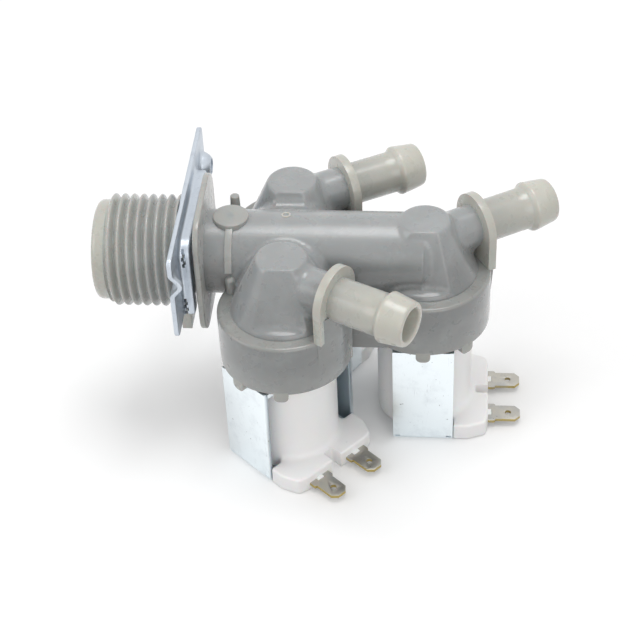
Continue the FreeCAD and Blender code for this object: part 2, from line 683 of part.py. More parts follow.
def yoke_cap():
    """Steel plate that closes the frame between the arms above the coil."""
    half = YOKE_WIDTH / 2
    inner = YOKE_HALF_SPAN - YOKE_THICKNESS
    plate = block(-half, half, -inner, inner, COIL_TOP_Z, CAP_TOP_Z)
    return plate.cut(upright(SLEEVE_RADIUS, COIL_TOP_Z - 1.0, CAP_TOP_Z + 1.0))


def valve_pieces():
    """Every loose piece of one valve, keyed by the last part of its name."""
    return {
        "guide_tube": guide_tube(),
        "diaphragm": diaphragm(),
        "diaphragm_insert": diaphragm_insert(),
        "armature": armature(),
        "armature_seal": armature_seal(),
        "armature_spring": armature_spring(),
        "bobbin": bobbin(),
        "winding": coil_winding(),
        "lower_sleeve": flux_sleeve(FLOOR_Z),
        "upper_sleeve": flux_sleeve(CAP_TOP_Z - SLEEVE_LENGTH),
        "coil_shell": coil_shell(),
        "yoke": yoke(),
        "yoke_cap": yoke_cap(),
        "terminal_right": terminal(-1),
        "terminal_left": terminal(1),
    }


def save(name, shape):
    shape.exportStep(os.path.join("parts", name + ".step"))


def main():
    os.makedirs("parts", exist_ok=True)
    save("valve_body", valve_body())
    save("mounting_plate", mounting_plate())
    save("inlet_strainer", inlet_strainer())
    save("flow_holder", flow_holder())
    save("flow_washer", flow_washer())
    pieces = valve_pieces()
    for name, x, y, _, coil_angle in VALVES:
        for piece, shape in pieces.items():
            save(name + "_" + piece, placed(shape, x, y, coil_angle))


main()
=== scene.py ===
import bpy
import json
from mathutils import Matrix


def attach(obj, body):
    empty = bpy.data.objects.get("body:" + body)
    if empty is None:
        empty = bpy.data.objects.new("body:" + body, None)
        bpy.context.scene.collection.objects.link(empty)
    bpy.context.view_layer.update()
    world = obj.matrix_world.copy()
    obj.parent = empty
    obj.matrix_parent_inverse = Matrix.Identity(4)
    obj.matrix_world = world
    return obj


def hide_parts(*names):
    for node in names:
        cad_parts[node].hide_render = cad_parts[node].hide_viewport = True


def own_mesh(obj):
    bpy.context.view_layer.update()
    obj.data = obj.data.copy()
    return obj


bl_info = {
    "name": "Washing machine inlet valve",
    "version": (1, 0, 0),
    "blender": (4, 5, 0),
    "location": "View3D > Sidebar > Inlet valve",
    "description": "Moulded body, plate, coils and terminals of a three-way inlet valve",
    "category": "Object",
}

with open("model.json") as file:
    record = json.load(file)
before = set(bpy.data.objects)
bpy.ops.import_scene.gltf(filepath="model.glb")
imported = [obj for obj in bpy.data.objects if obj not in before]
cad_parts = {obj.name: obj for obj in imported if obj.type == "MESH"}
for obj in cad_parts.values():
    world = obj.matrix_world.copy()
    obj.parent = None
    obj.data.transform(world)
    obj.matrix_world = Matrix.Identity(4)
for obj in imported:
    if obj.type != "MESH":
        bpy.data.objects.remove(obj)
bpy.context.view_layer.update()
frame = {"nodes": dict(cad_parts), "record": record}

import json
import math

import bpy
import numpy as np
from bpy.props import FloatProperty, FloatVectorProperty, PointerProperty
from mathutils import Matrix, Vector

# Everything is modelled in millimetres in the part's own frame and scaled to metres at the end.

# Name, centre, nozzle direction and coil direction of each valve, in degrees from +X
VALVES = (
    ("front", 25.4, -14.9, -27.0, -42.0),
    ("rear", 25.4, 14.9, 28.8, 54.0),
    ("end", 58.0, 0.0, 30.5, 0.0),
)
MM = 0.001

# Heights over the inlet's axis
FLOOR_Z = -47.7
COIL_BASE_Z = -46.5
COIL_TOP_Z = -20.5
RIM_Z = -18.4
SHOULDER_Z = -4.3
NOZZLE_Z = 3.9
BLADE_Z = FLOOR_Z + 1.5
YOKE_TOP_Z = -18.8

# Thread of the inlet
PITCH = 2.26
THREAD_DEPTH = 1.42
FIRST_CREST_X = -16.13

# Shield and bore of a nozzle, from the centre of its valve
SHIELD_RADIUS = 7.8
SHIELD_NEAR = 13.0
SHIELD_FAR = 15.0
NOZZLE_BORE = 3.9

# Mounting plate and the neck behind it
PLATE_BOTTOM = -9.4
PLATE_TOP = 13.2
FOLD_Y = -13.6
CRIMP_Z = 5.9
CRIMP_HALF_HEIGHT = 3.4
CRIMP_DEPTH = 2.0
BOSS_Y = 28.4
BOSS_Z = 4.6
LUG_X = 12.5
LUG_Y = 10.1
LUG_Z = -0.8
GATE_X = 25.2

# Coil, yoke and terminals, from the axis of their valve
SLEEVE_RADIUS = 6.01
YOKE_HALF_WIDTH = 7.4
YOKE_HALF_SPAN = 14.35
BLADE_SIDE = 6.1
BLADE_THICKNESS = 0.8

# Grain of the remeshed skins, coarser while the script is tried out
FINE = 1.0
BODY_VOXEL = 0.22
PLATE_VOXEL = 0.17
COIL_VOXEL = 0.24


# Small tools

def select_only(*pieces):
    bpy.ops.object.select_all(action="DESELECT")
    for piece in pieces:
        piece.select_set(True)
    bpy.context.view_layer.objects.active = pieces[0]


def apply_place(piece):
    select_only(piece)
    bpy.ops.object.transform_apply(location=True, rotation=True, scale=True)
    return piece


def placed(piece, x=0.0, y=0.0, z=0.0, angle=0.0):
    """Turn a piece about the upright axis at the origin, then move it, and apply both."""
    piece.rotation_euler = (0.0, 0.0, math.radians(angle))
    piece.location = (x, y, z)
    return apply_place(piece)


def laid_along_x(piece):
    """Turn an upright piece so that its axis points along +X."""
    piece.rotation_euler = (0.0, math.radians(90.0), 0.0)
    return apply_place(piece)


def copied(piece, name):
    select_only(piece)
    bpy.ops.object.duplicate()
    twin = bpy.context.active_object
    twin.name = name
    return twin


def modified(piece, kind, **settings):
    """Add one modifier, set it and apply it."""
    select_only(piece)
    modifier = piece.modifiers.new(kind.title(), kind)
    for key, value in settings.items():
        setattr(modifier, key, value)
    bpy.ops.object.modifier_apply(modifier=modifier.name)
    return piece


def joined(pieces, name):
    select_only(*pieces)
    bpy.ops.object.join()
    whole = bpy.context.active_object
    whole.name = name
    return whole


def cut(piece, tool, solver="EXACT"):
    modified(piece, "BOOLEAN", operation="DIFFERENCE", object=tool, solver=solver)
    bpy.data.objects.remove(tool)
    return piece


def unite(piece, other):
    modified(piece, "BOOLEAN", operation="UNION", object=other, solver="EXACT")
    bpy.data.objects.remove(other)
    return piece


def common(piece, other):
    modified(piece, "BOOLEAN", operation="INTERSECT", object=other, solver="EXACT")
    bpy.data.objects.remove(other)
    return piece


def sliced(piece, point, away, fill=True):
    """Cut off what lies beyond a plane and close the cut where that is asked for."""
    select_only(piece)
    bpy.ops.object.mode_set(mode="EDIT")
    bpy.ops.mesh.select_all(action="SELECT")
    bpy.ops.mesh.bisect(plane_co=point, plane_no=away, use_fill=fill, clear_outer=True)
    bpy.ops.object.mode_set(mode="OBJECT")
    return piece


def facing_out(piece):
    """Turn every face of a closed shell to point outwards."""
    select_only(piece)
    bpy.ops.object.mode_set(mode="EDIT")
    bpy.ops.mesh.select_all(action="SELECT")
    bpy.ops.mesh.normals_make_consistent(inside=False)
    bpy.ops.object.mode_set(mode="OBJECT")
    return piece


def sleeve_facing_out(piece, axis):
    """Turn every face of an open sleeve about an axis through the origin to point outwards."""
    facing_out(piece)
    lean = sum(face.normal.dot(face.center - axis * face.center.dot(axis))
               for face in piece.data.polygons)
    if lean < 0.0:
        bpy.ops.object.mode_set(mode="EDIT")
        bpy.ops.mesh.flip_normals()
        bpy.ops.object.mode_set(mode="OBJECT")


def fused(piece, voxel):
    """Turn overlapping closed shells into one skin."""
    return modified(piece, "REMESH", mode="VOXEL", voxel_size=voxel * FINE)


def filleted(piece, radius, voxel):
    """Grow and shrink the skin again, which leaves a fillet in every inside corner."""
    modified(piece, "DISPLACE", strength=radius, mid_level=0.0)
    fused(piece, voxel)
    modified(piece, "DISPLACE", strength=-radius, mid_level=0.0)
    return fused(piece, voxel)


def relaxed(piece, rounds):
    return modified(piece, "SMOOTH", factor=0.5, iterations=rounds)


def thinned(piece, triangles):
    """Reduce a fine skin to about so many triangles."""
    select_only(piece)
    count = sum(len(face.vertices) - 2 for face in piece.data.polygons)
    if count > triangles:
        modified(piece, "DECIMATE", ratio=triangles / count)


def along_x(at, way):
    return abs(way.x) > 0.9


def upright(at, way):
    return abs(way.z) > 0.9


def bevelled(piece, chosen, width, segments):
    """Bevel the edges whose middle and direction pass the test."""
    select_only(piece)
    bpy.ops.object.mode_set(mode="EDIT")
    bpy.ops.mesh.select_mode(type="EDGE")
    bpy.ops.mesh.select_all(action="DESELECT")
    bpy.ops.object.mode_set(mode="OBJECT")
    points = piece.data.vertices
    for edge in piece.data.edges:
        first, last = (points[index].co for index in edge.vertices)
        edge.select = bool(chosen((first + last) / 2, (last - first).normalized()))
    bpy.ops.object.mode_set(mode="EDIT")
    bpy.ops.mesh.bevel(offset=width, segments=segments, affect="EDGES", clamp_overlap=True)
    bpy.ops.object.mode_set(mode="OBJECT")
    return piece


def edges_rounded(piece, width, segments, sharper=50.0):
    """Round every edge that is sharper than an angle."""
    return modified(piece, "BEVEL", width=width, segments=segments, limit_method="ANGLE",
                    angle_limit=math.radians(sharper))


def block(name, low, high):
    """Box between two corners."""
    middle = [(a + b) / 2 for a, b in zip(low, high)]
    bpy.ops.mesh.primitive_cube_add(size=1.0, location=middle)
    piece = bpy.context.active_object
    piece.name = name
    piece.scale = [b - a for a, b in zip(low, high)]
    return apply_place(piece)


def outline(name, corners, closed=False):
    """Chain of edges drawn by extruding one point; a closed one gets its face."""
    bpy.ops.mesh.primitive_plane_add(size=0.1, location=(0.0, 0.0, 0.0))
    piece = bpy.context.active_object
    piece.name = name
    bpy.ops.object.mode_set(mode="EDIT")
    bpy.ops.mesh.select_mode(type="VERT")
    bpy.ops.mesh.select_all(action="SELECT")
    bpy.ops.mesh.merge(type="CENTER")
    bpy.ops.transform.translate(value=corners[0])
    for here, there in zip(corners, corners[1:]):
        step = [b - a for a, b in zip(here, there)]
        bpy.ops.mesh.extrude_region_move(TRANSFORM_OT_translate={"value": step})
    if closed:
        bpy.ops.mesh.select_all(action="SELECT")
        bpy.ops.mesh.edge_face_add()
    bpy.ops.object.mode_set(mode="OBJECT")
    return piece


def turned(name, rings, sides=96):
    """Round piece about the upright axis, extruded from a disc through (radius, height) rings."""
    radius, height = rings[0]
    bpy.ops.mesh.primitive_circle_add(vertices=sides, radius=radius, fill_type="NGON",
                                      location=(0.0, 0.0, height))
    piece = bpy.context.active_object
    piece.name = name
    apply_place(piece)
    bpy.ops.object.mode_set(mode="EDIT")
    bpy.ops.mesh.select_mode(type="FACE")
    bpy.ops.mesh.select_all(action="SELECT")
    for next_radius, next_height in rings[1:]:
        bpy.ops.mesh.extrude_region_move(
            TRANSFORM_OT_translate={"value": (0.0, 0.0, next_height - height)})
        scale = next_radius / radius
        bpy.ops.transform.resize(value=(scale, scale, 1.0),
                                 center_override=(0.0, 0.0, next_height))
        radius, height = next_radius, next_height
    bpy.ops.object.mode_set(mode="OBJECT")
    return facing_out(piece)


def rounded(radius, top, curve, steps=5):
    """Rings of a rounded rim that ends in a flat face at the given height."""
    rings = []
    for index in range(steps + 1):
        angle = math.radians(90.0) * index / steps
        rings.append((radius - curve + curve * math.cos(angle),
                      top - curve + curve * math.sin(angle)))
    return rings


def finish_of(slot_name):
    return bpy.data.materials[slot_name + "_finish"]


def finished(piece, slot_name, *nodes):
    """Scale to metres, shade, give the finish, hang the piece under the valve's empty and hide the
    nodes it stands for.
    """
    piece.scale = (MM, MM, MM)
    apply_place(piece)
    bpy.ops.object.shade_smooth_by_angle(angle=math.radians(40.0))
    piece.data.materials.clear()
    piece.data.materials.append(finish_of(slot_name))
    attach(piece, "valve")
    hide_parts(*nodes)
    return piece


# Shader groups

def new_group(name, inputs, outputs):
    """Empty node group with typed sockets; inputs are (name, type, default)."""
    group = bpy.data.node_groups.new(name, "ShaderNodeTree")
    for label, kind, default in inputs:
        socket = group.interface.new_socket(name=label, in_out="INPUT", socket_type=kind)
        socket.default_value = default
    for label, kind in outputs:
        group.interface.new_socket(name=label, in_out="OUTPUT", socket_type=kind)
    return group, group.nodes.new("NodeGroupInput"), group.nodes.new("NodeGroupOutput")


def noise(group, source, scale, detail, roughness=0.5):
    node = group.nodes.new("ShaderNodeTexNoise")
    node.inputs["Scale"].default_value = scale
    node.inputs["Detail"].default_value = detail
    node.inputs["Roughness"].default_value = roughness
    group.links.new(source, node.inputs["Vector"])
    return node.outputs["Fac"]


def ramp(group, source, low, high, start=0.0, end=1.0):
    """Map a value between two limits to another range, clamped."""
    node = group.nodes.new("ShaderNodeMapRange")
    node.inputs["From Min"].default_value = low
    node.inputs["From Max"].default_value = high
    node.inputs["To Min"].default_value = start
    node.inputs["To Max"].default_value = end
    group.links.new(source, node.inputs["Value"])
    return node.outputs["Result"]


def mixed(group, factor, first, second):
    node = group.nodes.new("ShaderNodeMix")
    node.data_type = "RGBA"
    colours = [socket for socket in node.inputs if socket.type == "RGBA"]
    for socket, value in ((node.inputs[0], factor), (colours[0], first), (colours[1], second)):
        if isinstance(value, bpy.types.NodeSocket):
            group.links.new(value, socket)
        elif hasattr(value, "__len__"):
            socket.default_value = tuple(value)[:3] + (1.0,)
        else:
            socket.default_value = value
    return [socket for socket in node.outputs if socket.type == "RGBA"][0]


def calculated(group, operation, first, second=None):
    node = group.nodes.new("ShaderNodeMath")
    node.operation = operation
    for index, value in enumerate((first, second)):
        if isinstance(value, bpy.types.NodeSocket):
            group.links.new(value, node.inputs[index])
        elif value is not None:
            node.inputs[index].default_value = value
    return node.outputs["Value"]


def bumped(group, height, strength, distance):
    node = group.nodes.new("ShaderNodeBump")
    node.inputs["Strength"].default_value = strength
    node.inputs["Distance"].default_value = distance
    group.links.new(height, node.inputs["Height"])
    return node.outputs["Normal"]


def moulded_skin():
    """Cloudy tone, fine mould grain and stray specks of a plastic moulding."""
    group, taken, given = new_group(
        "moulded_skin",
        [("Color", "NodeSocketColor", (0.7, 0.7, 0.7, 1.0)), ("Cloud", "NodeSocketFloat", 0.1),
         ("Grain", "NodeSocketFloat", 0.1), ("Roughness", "NodeSocketFloat", 0.4)],
        [("Color", "NodeSocketColor"), ("Roughness", "NodeSocketFloat"),
         ("Height", "NodeSocketFloat")])
    place = group.nodes.new("ShaderNodeTexCoord").outputs["Object"]
    cloud = ramp(group, noise(group, place, 140.0, 4.0, 0.6), 0.35, 0.65, -1.0, 1.0)
    shade = calculated(group, "MULTIPLY", cloud, taken.outputs["Cloud"])
    lighter = calculated(group, "MAXIMUM", shade, 0.0)
    darker = calculated(group, "MULTIPLY", calculated(group, "MINIMUM", shade, 0.0), -1.0)
    tone = mixed(group, lighter, taken.outputs["Color"], (0.9, 0.92, 0.93))
    tone = mixed(group, darker, tone, (0.18, 0.19, 0.19))
    specks = ramp(group, noise(group, place, 900.0, 1.0), 0.74, 0.78)
    tone = mixed(group, calculated(group, "MULTIPLY", specks, 0.08), tone, (0.12, 0.12, 0.11))
    group.links.new(tone, given.inputs["Color"])
    grain = noise(group, place, 2600.0, 2.0)
    worn = ramp(group, noise(group, place, 320.0, 3.0), 0.3, 0.7, -0.06, 0.06)
    group.links.new(calculated(group, "ADD", taken.outputs["Roughness"], worn),
                    given.inputs["Roughness"])
    broad = calculated(group, "MULTIPLY", noise(group, place, 230.0, 2.0), 1.6)
    height = calculated(group, "MULTIPLY", calculated(group, "ADD", grain, broad),
                        taken.outputs["Grain"])
    group.links.new(height, given.inputs["Height"])


def plated_skin():
    """Soft spangle, handling scratches and dull patches of bright zinc on pressed sheet."""
    group, taken, given = new_group(
        "plated_skin",
        [("Color", "NodeSocketColor", (0.6, 0.65, 0.7, 1.0)), ("Scratches", "NodeSocketFloat", 0.5),
         ("Stains", "NodeSocketFloat", 0.3), ("Roughness", "NodeSocketFloat", 0.3)],
        [("Color", "NodeSocketColor"), ("Roughness", "NodeSocketFloat"),
         ("Height", "NodeSocketFloat")])
    place = group.nodes.new("ShaderNodeTexCoord").outputs["Object"]
    stretched = group.nodes.new("ShaderNodeMapping")
    stretched.inputs["Scale"].default_value = (1.0, 1.0, 0.12)
    stretched.inputs["Rotation"].default_value = (0.5, 0.35, 0.2)
    group.links.new(place, stretched.inputs["Vector"])
    lines = noise(group, stretched.outputs["Vector"], 2300.0, 2.0, 0.7)
    patches = ramp(group, noise(group, place, 160.0, 2.0), 0.45, 0.6)
    scratch = calculated(group, "MULTIPLY", ramp(group, lines, 0.62, 0.7), patches)
    scratch = calculated(group, "MULTIPLY", scratch, taken.outputs["Scratches"])
    stain = calculated(group, "MULTIPLY", ramp(group, noise(group, place, 210.0, 5.0, 0.65),
                                               0.5, 0.75), taken.outputs["Stains"])
    tone = mixed(group, stain, taken.outputs["Color"], (0.30, 0.34, 0.40))
    tone = mixed(group, calculated(group, "MULTIPLY", scratch, 0.6), tone, (0.22, 0.24, 0.26))
    pits = ramp(group, noise(group, place, 1500.0, 1.0), 0.76, 0.79)
    tone = mixed(group, calculated(group, "MULTIPLY", pits, 0.6), tone, (0.12, 0.13, 0.15))
    group.links.new(tone, given.inputs["Color"])
    dull = calculated(group, "ADD", calculated(group, "MULTIPLY", stain, 0.25),
                      calculated(group, "MULTIPLY", scratch, 0.2))
    group.links.new(calculated(group, "ADD", taken.outputs["Roughness"], dull),
                    given.inputs["Roughness"])
    height = calculated(group, "ADD", calculated(group, "MULTIPLY", scratch, -1.0),
                        calculated(group, "MULTIPLY", noise(group, place, 500.0, 3.0), 0.5))
    group.links.new(height, given.inputs["Height"])


def painted_tone():
    """Blend of four colours by the tone that is painted on a piece, painted shade and a painted
    highlight among them.
    """
    group, taken, given = new_group(
        "painted_tone",
        [("Thick", "NodeSocketColor", (0.4, 0.4, 0.4, 1.0)),
         ("Thin", "NodeSocketColor", (0.7, 0.7, 0.6, 1.0)),
         ("Shade_and_deep", "NodeSocketColor", (0.2, 0.2, 0.2, 1.0)),
         ("Bright", "NodeSocketColor", (0.8, 0.8, 0.7, 1.0))],
        [("Color", "NodeSocketColor")])
    paint = group.nodes.new("ShaderNodeAttribute")
    paint.attribute_name = "tone"
    split = group.nodes.new("ShaderNodeSeparateColor")
    group.links.new(paint.outputs["Color"], split.inputs["Color"])
    tone = mixed(group, split.outputs["Red"], taken.outputs["Thick"], taken.outputs["Thin"])
    tone = mixed(group, split.outputs["Green"], tone, taken.outputs["Shade_and_deep"])
    tone = mixed(group, split.outputs["Blue"], tone, taken.outputs["Bright"])
    group.links.new(tone, given.inputs["Color"])


def material_with(slot_name, group_name, values, **fixed):
    """Principled material fed by one effect group; fixed values go on the shader's own sockets."""
    material = bpy.data.materials.new(slot_name + "_finish")
    material.use_nodes = True
    tree = material.node_tree
    shader = tree.nodes["Principled BSDF"]
    effect = tree.nodes.new("ShaderNodeGroup")
    effect.node_tree = bpy.data.node_groups[group_name]
    for label, value in values.items():
        effect.inputs[label].default_value = value
    tree.links.new(effect.outputs["Color"], shader.inputs["Base Color"])
    tree.links.new(effect.outputs["Roughness"], shader.inputs["Roughness"])
    tree.links.new(bumped(tree, effect.outputs["Height"], 0.35, 0.00006), shader.inputs["Normal"])
    for label, value in fixed.items():
        shader.inputs[label.replace("_", " ")].default_value = value
    return material


def colour(value):
    return tuple(value)[:3] + (1.0,)


def toned(material, tones):
    """Let the painted tone choose among several colours of one material."""
    tree = material.node_tree
    effect = [node for node in tree.nodes if node.type == "GROUP"][0]
    tone = tree.nodes.new("ShaderNodeGroup")
    tone.node_tree = bpy.data.node_groups["painted_tone"]
    for label, value in tones.items():
        tone.inputs[label].default_value = colour(value)
    tree.links.new(tone.outputs["Color"], effect.inputs["Color"])


# Settings that a user would change

class InletValveSizes(bpy.types.PropertyGroup):
    thread_diameter: FloatProperty(
        name="Thread diameter", description="Over the crests of the inlet thread",
        default=0.0269, unit="LENGTH")
    manifold_diameter: FloatProperty(
        name="Manifold diameter", description="Outside of the pipe that joins the valves",
        default=0.0202, unit="LENGTH")
    chamber_diameter: FloatProperty(
        name="Chamber diameter", description="Outside of each valve chamber",
        default=0.0316, unit="LENGTH")
    nozzle_diameter: FloatProperty(
        name="Nozzle diameter", description="Outside of each hose nozzle behind its barb",
        default=0.0103, unit="LENGTH")
    barb_diameter: FloatProperty(
        name="Barb diameter", description="Outside of the hose barb",
        default=0.0124, unit="LENGTH")
    coil_diameter: FloatProperty(
        name="Coil diameter", description="Outside of the white coil moulding",
        default=0.0234, unit="LENGTH")
    sheet_thickness: FloatProperty(
        name="Sheet thickness", description="Steel of the plate and of the yokes",
        default=0.0012, unit="LENGTH")
    fillet_radius: FloatProperty(
        name="Fillet radius", description="Inside corners between domes, pipes and chambers",
        default=0.0019, unit="LENGTH")


class InletValveFinishes(bpy.types.PropertyGroup):
    body_grey: FloatVectorProperty(
        name="Body grey", description="Thick walls of the moulded body",
        subtype="COLOR", default=(0.300, 0.312, 0.315), min=0.0, max=1.0)
    body_cream: FloatVectorProperty(
        name="Body cream", description="Thin walls of the moulded body, such as barbs and rims",
        subtype="COLOR", default=(0.45, 0.445, 0.395), min=0.0, max=1.0)
    # Also the painted shade on the manifold's underside, the domes' near facets, the neck and the
    # chamber webs.
    body_deep_and_shade: FloatVectorProperty(
        name="Body deep tone", description="Chamber walls, the thickest of the body",
        subtype="COLOR", default=(0.130, 0.133, 0.130), min=0.0, max=1.0)
    # Also the painted highlight along the chambers' shoulder edges.
    barb_cream_and_highlight: FloatVectorProperty(
        name="Barb cream", description="Thinnest walls, at the hose barbs",
        subtype="COLOR", default=(0.52, 0.51, 0.45), min=0.0, max=1.0)
    coil_white: FloatVectorProperty(
        name="Coil white", description="Overmould of the coils",
        subtype="COLOR", default=(0.96, 0.95, 0.945), min=0.0, max=1.0)
    zinc_tint: FloatVectorProperty(
        name="Zinc tint", description="Bright zinc on the plate and yokes",
        subtype="COLOR", default=(0.58, 0.63, 0.69), min=0.0, max=1.0)
    tin_tint: FloatVectorProperty(
        name="Tin tint", description="Flat sides of the terminal blades",
        subtype="COLOR", default=(0.50, 0.48, 0.43), min=0.0, max=1.0)
    brass_tint: FloatVectorProperty(
        name="Brass tint", description="Sheared edges of the terminal blades",
        subtype="COLOR", default=(0.46, 0.36, 0.13), min=0.0, max=1.0)


def sizes():
    return bpy.context.scene.inlet_valve_sizes


def finishes():
    return bpy.context.scene.inlet_valve_finishes


# Body moulding

def dome(name):
    """Tapered dome with a rounded top; its slanting flat runs out in a round skirt."""
    rings = [(12.6, -8.0), (12.6, SHOULDER_Z), (6.3, 9.6)] + rounded(6.15, 10.4, 0.8)[1:]
    piece = sliced(turned(name, rings, 128), (0.0, -10.8, SHOULDER_Z), (0.0, -0.930, 0.367))
    skirt = turned(name + "_skirt", [(12.6, -8.0), (12.6, -4.1), (12.1, -3.2), (9.0, -2.4)], 128)
    return joined([piece, skirt], name)


def valve_bore(name):
    """Chamber, diaphragm step, seat and outlet passage of one valve."""
    return turned(name, [(13.9, -22.0), (13.9, -13.0), (11.6, -13.0), (11.6, -8.8),
                         (5.7, -8.8), (5.7, -12.6), (NOZZLE_BORE, -12.6),
                         (NOZZLE_BORE, NOZZLE_Z)], 96)


def chamber(name, radius):
    rings = [(radius - 0.35, RIM_Z), (radius - 0.1, RIM_Z + 0.25), (radius, -16.0), (radius, -10.0)]
    piece = turned(name, rings + rounded(radius, SHOULDER_Z, 0.85, 6), 192)
    return cut(piece, valve_bore(name + "_bore"))


def rim_tooth(name, angle):
    """Tooth with a rounded foot under the chamber's rim."""
    tooth = block(name, (13.95, -1.75, RIM_Z - 2.2), (15.75, 1.75, RIM_Z + 0.8))
    bevelled(tooth, lambda at, way: along_x(at, way) and at.z < RIM_Z, 1.35, 7)
    edges_rounded(tooth, 0.2, 3, 60.0)
    return placed(tooth, angle=angle)


def spout(name, pipe, barb):
    """Hose nozzle with one barb and its bore, along +X from the valve's centre."""
    rings = [(pipe, 12.9), (pipe, 16.0), (pipe, 20.0), (pipe, 24.0), (pipe, 26.9),
             (pipe + 0.1, 27.05), (barb - 0.3, 27.7), (barb - 0.12, 27.85), (barb, 28.15),
             (barb - 0.03, 28.6), (5.48, 33.0), (5.36, 33.6), (5.2, 33.9), (5.0, 34.05),
             (4.8, 34.1)]
    piece = laid_along_x(turned(name, rings, 128))
    bore = turned(name + "_bore", [(NOZZLE_BORE, 11.0), (3.95, 33.6), (4.05, 33.9), (4.3, 34.12),
                                   (4.3, 35.0)], 96)
    return placed(cut(piece, laid_along_x(bore)), z=NOZZLE_Z)


def shield(name):
    """Round wall between dome and nozzle with straight flanks down to the chamber."""
    wall = laid_along_x(turned(name, [(SHIELD_RADIUS, SHIELD_NEAR), (SHIELD_RADIUS, SHIELD_FAR)],
                               128))
    foot = block(name + "_foot", (SHIELD_NEAR, -SHIELD_RADIUS, SHOULDER_Z - NOZZLE_Z - 0.4),
                 (SHIELD_FAR, SHIELD_RADIUS, 0.0))
    unite(wall, foot)
    edges_rounded(wall, 0.5, 4)
    return placed(wall, z=NOZZLE_Z)


def outlet_wall(name, radius):
    """Chamber wall that rises outside the shield up to the nozzle."""
    side = SHIELD_RADIUS - 0.1
    wall = block(name, (SHIELD_NEAR + 0.3, -side, -14.5), (18.0, side, NOZZLE_Z - 2.0))
    inner = radius - 0.05
    outer = radius + 0.5
    rings = [(inner, -16.0), (inner, -12.0), (outer, -4.5), (outer, 6.0)]
    common(wall, turned(name + "_round", rings, 192))
    return edges_rounded(wall, 0.45, 3)


def chamber_web(name, side):
    """Thin wall that bridges the gap between two chambers."""
    low, high = sorted((side * 12.1, side * 13.3))
    web = block(name, (39.5, low, RIM_Z), (49.8, high, -6.5))
    return modified(web, "BEVEL", width=0.45, segments=4)


def gate_disc():
    piece = turned("gate_disc", [(2.6, 4.0), (2.6, 9.0), (3.7, 9.15), (4.12, 9.35)]
                   + rounded(4.26, 10.8, 0.28, 4), 96)
    return placed(piece, 12.2)


def neck_strap():
    """Flat band over the upper half of the neck, and a round lug with its post on each side."""
    band = laid_along_x(turned("neck_strap", [(10.8, 11.35), (10.8, 13.05)], 160))
    sliced(band, (0.0, 0.0, 1.6), (0.0, 0.0, -1.0))
    edges_rounded(band, 0.2, 3)
    pieces = [band]
    for side in (-1.0, 1.0):
        bpy.ops.mesh.primitive_uv_sphere_add(segments=48, ring_count=24, radius=1.25,
                                             location=(LUG_X, side * LUG_Y, LUG_Z))
        pieces.append(apply_place(bpy.context.active_object))
        post = turned("lug_post", [(1.1, -6.0), (1.25, LUG_Z)], 48)
        pieces.append(placed(post, LUG_X, side * LUG_Y))
    return pieces


def tapered_pin():
    pin = turned("tapered_pin", [(1.45, 0.0), (1.1, 9.1)] + rounded(1.08, 9.4, 0.2, 3), 48)
    return placed(pin, 12.0, 9.6)


def flange_pieces():
    """Flange behind the plate and the collar that the plate's pad fits over."""
    flange = block("flange", (4.9, -14.2, -15.8), (6.3, 14.2, 15.8))
    bevelled(flange, along_x, 6.3, 12)
    edges_rounded(flange, 0.25, 3)
    collar = block("collar", (0.0, -11.2, -15.2), (2.4, 11.2, 9.2))
    bevelled(collar, lambda at, way: along_x(at, way) and at.z > 0.0, 2.8, 8)
    edges_rounded(collar, 0.2, 2)
    return [flange, collar]


def gate_mark():
    """Small ring left by the mould's gate on top of the manifold."""
    bpy.ops.mesh.primitive_torus_add(major_radius=0.95, minor_radius=0.26, major_segments=48,
                                     minor_segments=12, location=(GATE_X, 1.4, 10.0))
    ring = bpy.context.active_object
    ring.rotation_euler = (math.radians(-8.0), 0.0, 0.0)
    return apply_place(ring)


def flow_arrow(manifold):
    """Triangle that stands a hair above the manifold in front of the gate mark."""
    mark = outline("flow_arrow", [(23.4, -0.5, 5.0), (26.6, -0.5, 5.0), (25.0, -4.3, 5.0)],
                   closed=True)
    modified(mark, "SOLIDIFY", thickness=8.0, offset=0.0)
    return common(mark, laid_along_x(turned("arrow_round", [(manifold, 20.0), (manifold, 30.0)],
                                            192)))


def body_hollows():
    """Every bore and chamber of the body as one tool."""
    tools = [laid_along_x(turned("manifold_bore", [(7.6, -1.0), (7.6, 51.8)], 96))]
    passages = [(49.35, 0.0), (25.4, -6.3), (25.4, 6.3)]
    for index, (x, y) in enumerate(passages):
        tools.append(placed(turned("passage_%d" % index, [(2.5, -9.8), (2.5, -2.5)], 32), x, y))
    for name, x, y, nozzle_angle, _ in VALVES:
        tools.append(placed(valve_bore(name + "_bore"), x, y))
        outlet = laid_along_x(turned(name + "_outlet", [(3.6, -3.9), (3.6, 16.0)], 64))
        tools.append(placed(placed(outlet, z=NOZZLE_Z), x, y, 0.0, nozzle_angle))
    return fused(joined(tools, "hollows"), 0.35)


def eased(value, low, high):
    part = np.clip((value - low) / (high - low), 0.0, 1.0)
    return part * part * (3.0 - 2.0 * part)


def mesh_points(piece):
    points = np.empty(len(piece.data.vertices) * 3)
    piece.data.vertices.foreach_get("co", points)
    return points.reshape(-1, 3)


def paint(piece, thin, deep_and_shade, bright):
    """Tone attribute: red for thin walls, green for deep walls and painted shade, blue for rims and
    a painted highlight.
    """
    whole = np.ones(len(piece.data.vertices))
    colours = np.stack([whole * thin, whole * deep_and_shade, whole * bright, whole], axis=1)
    layer = piece.data.color_attributes.new("tone", "FLOAT_COLOR", "POINT")
    layer.data.foreach_set("color", colours.astype(np.float32).ravel())


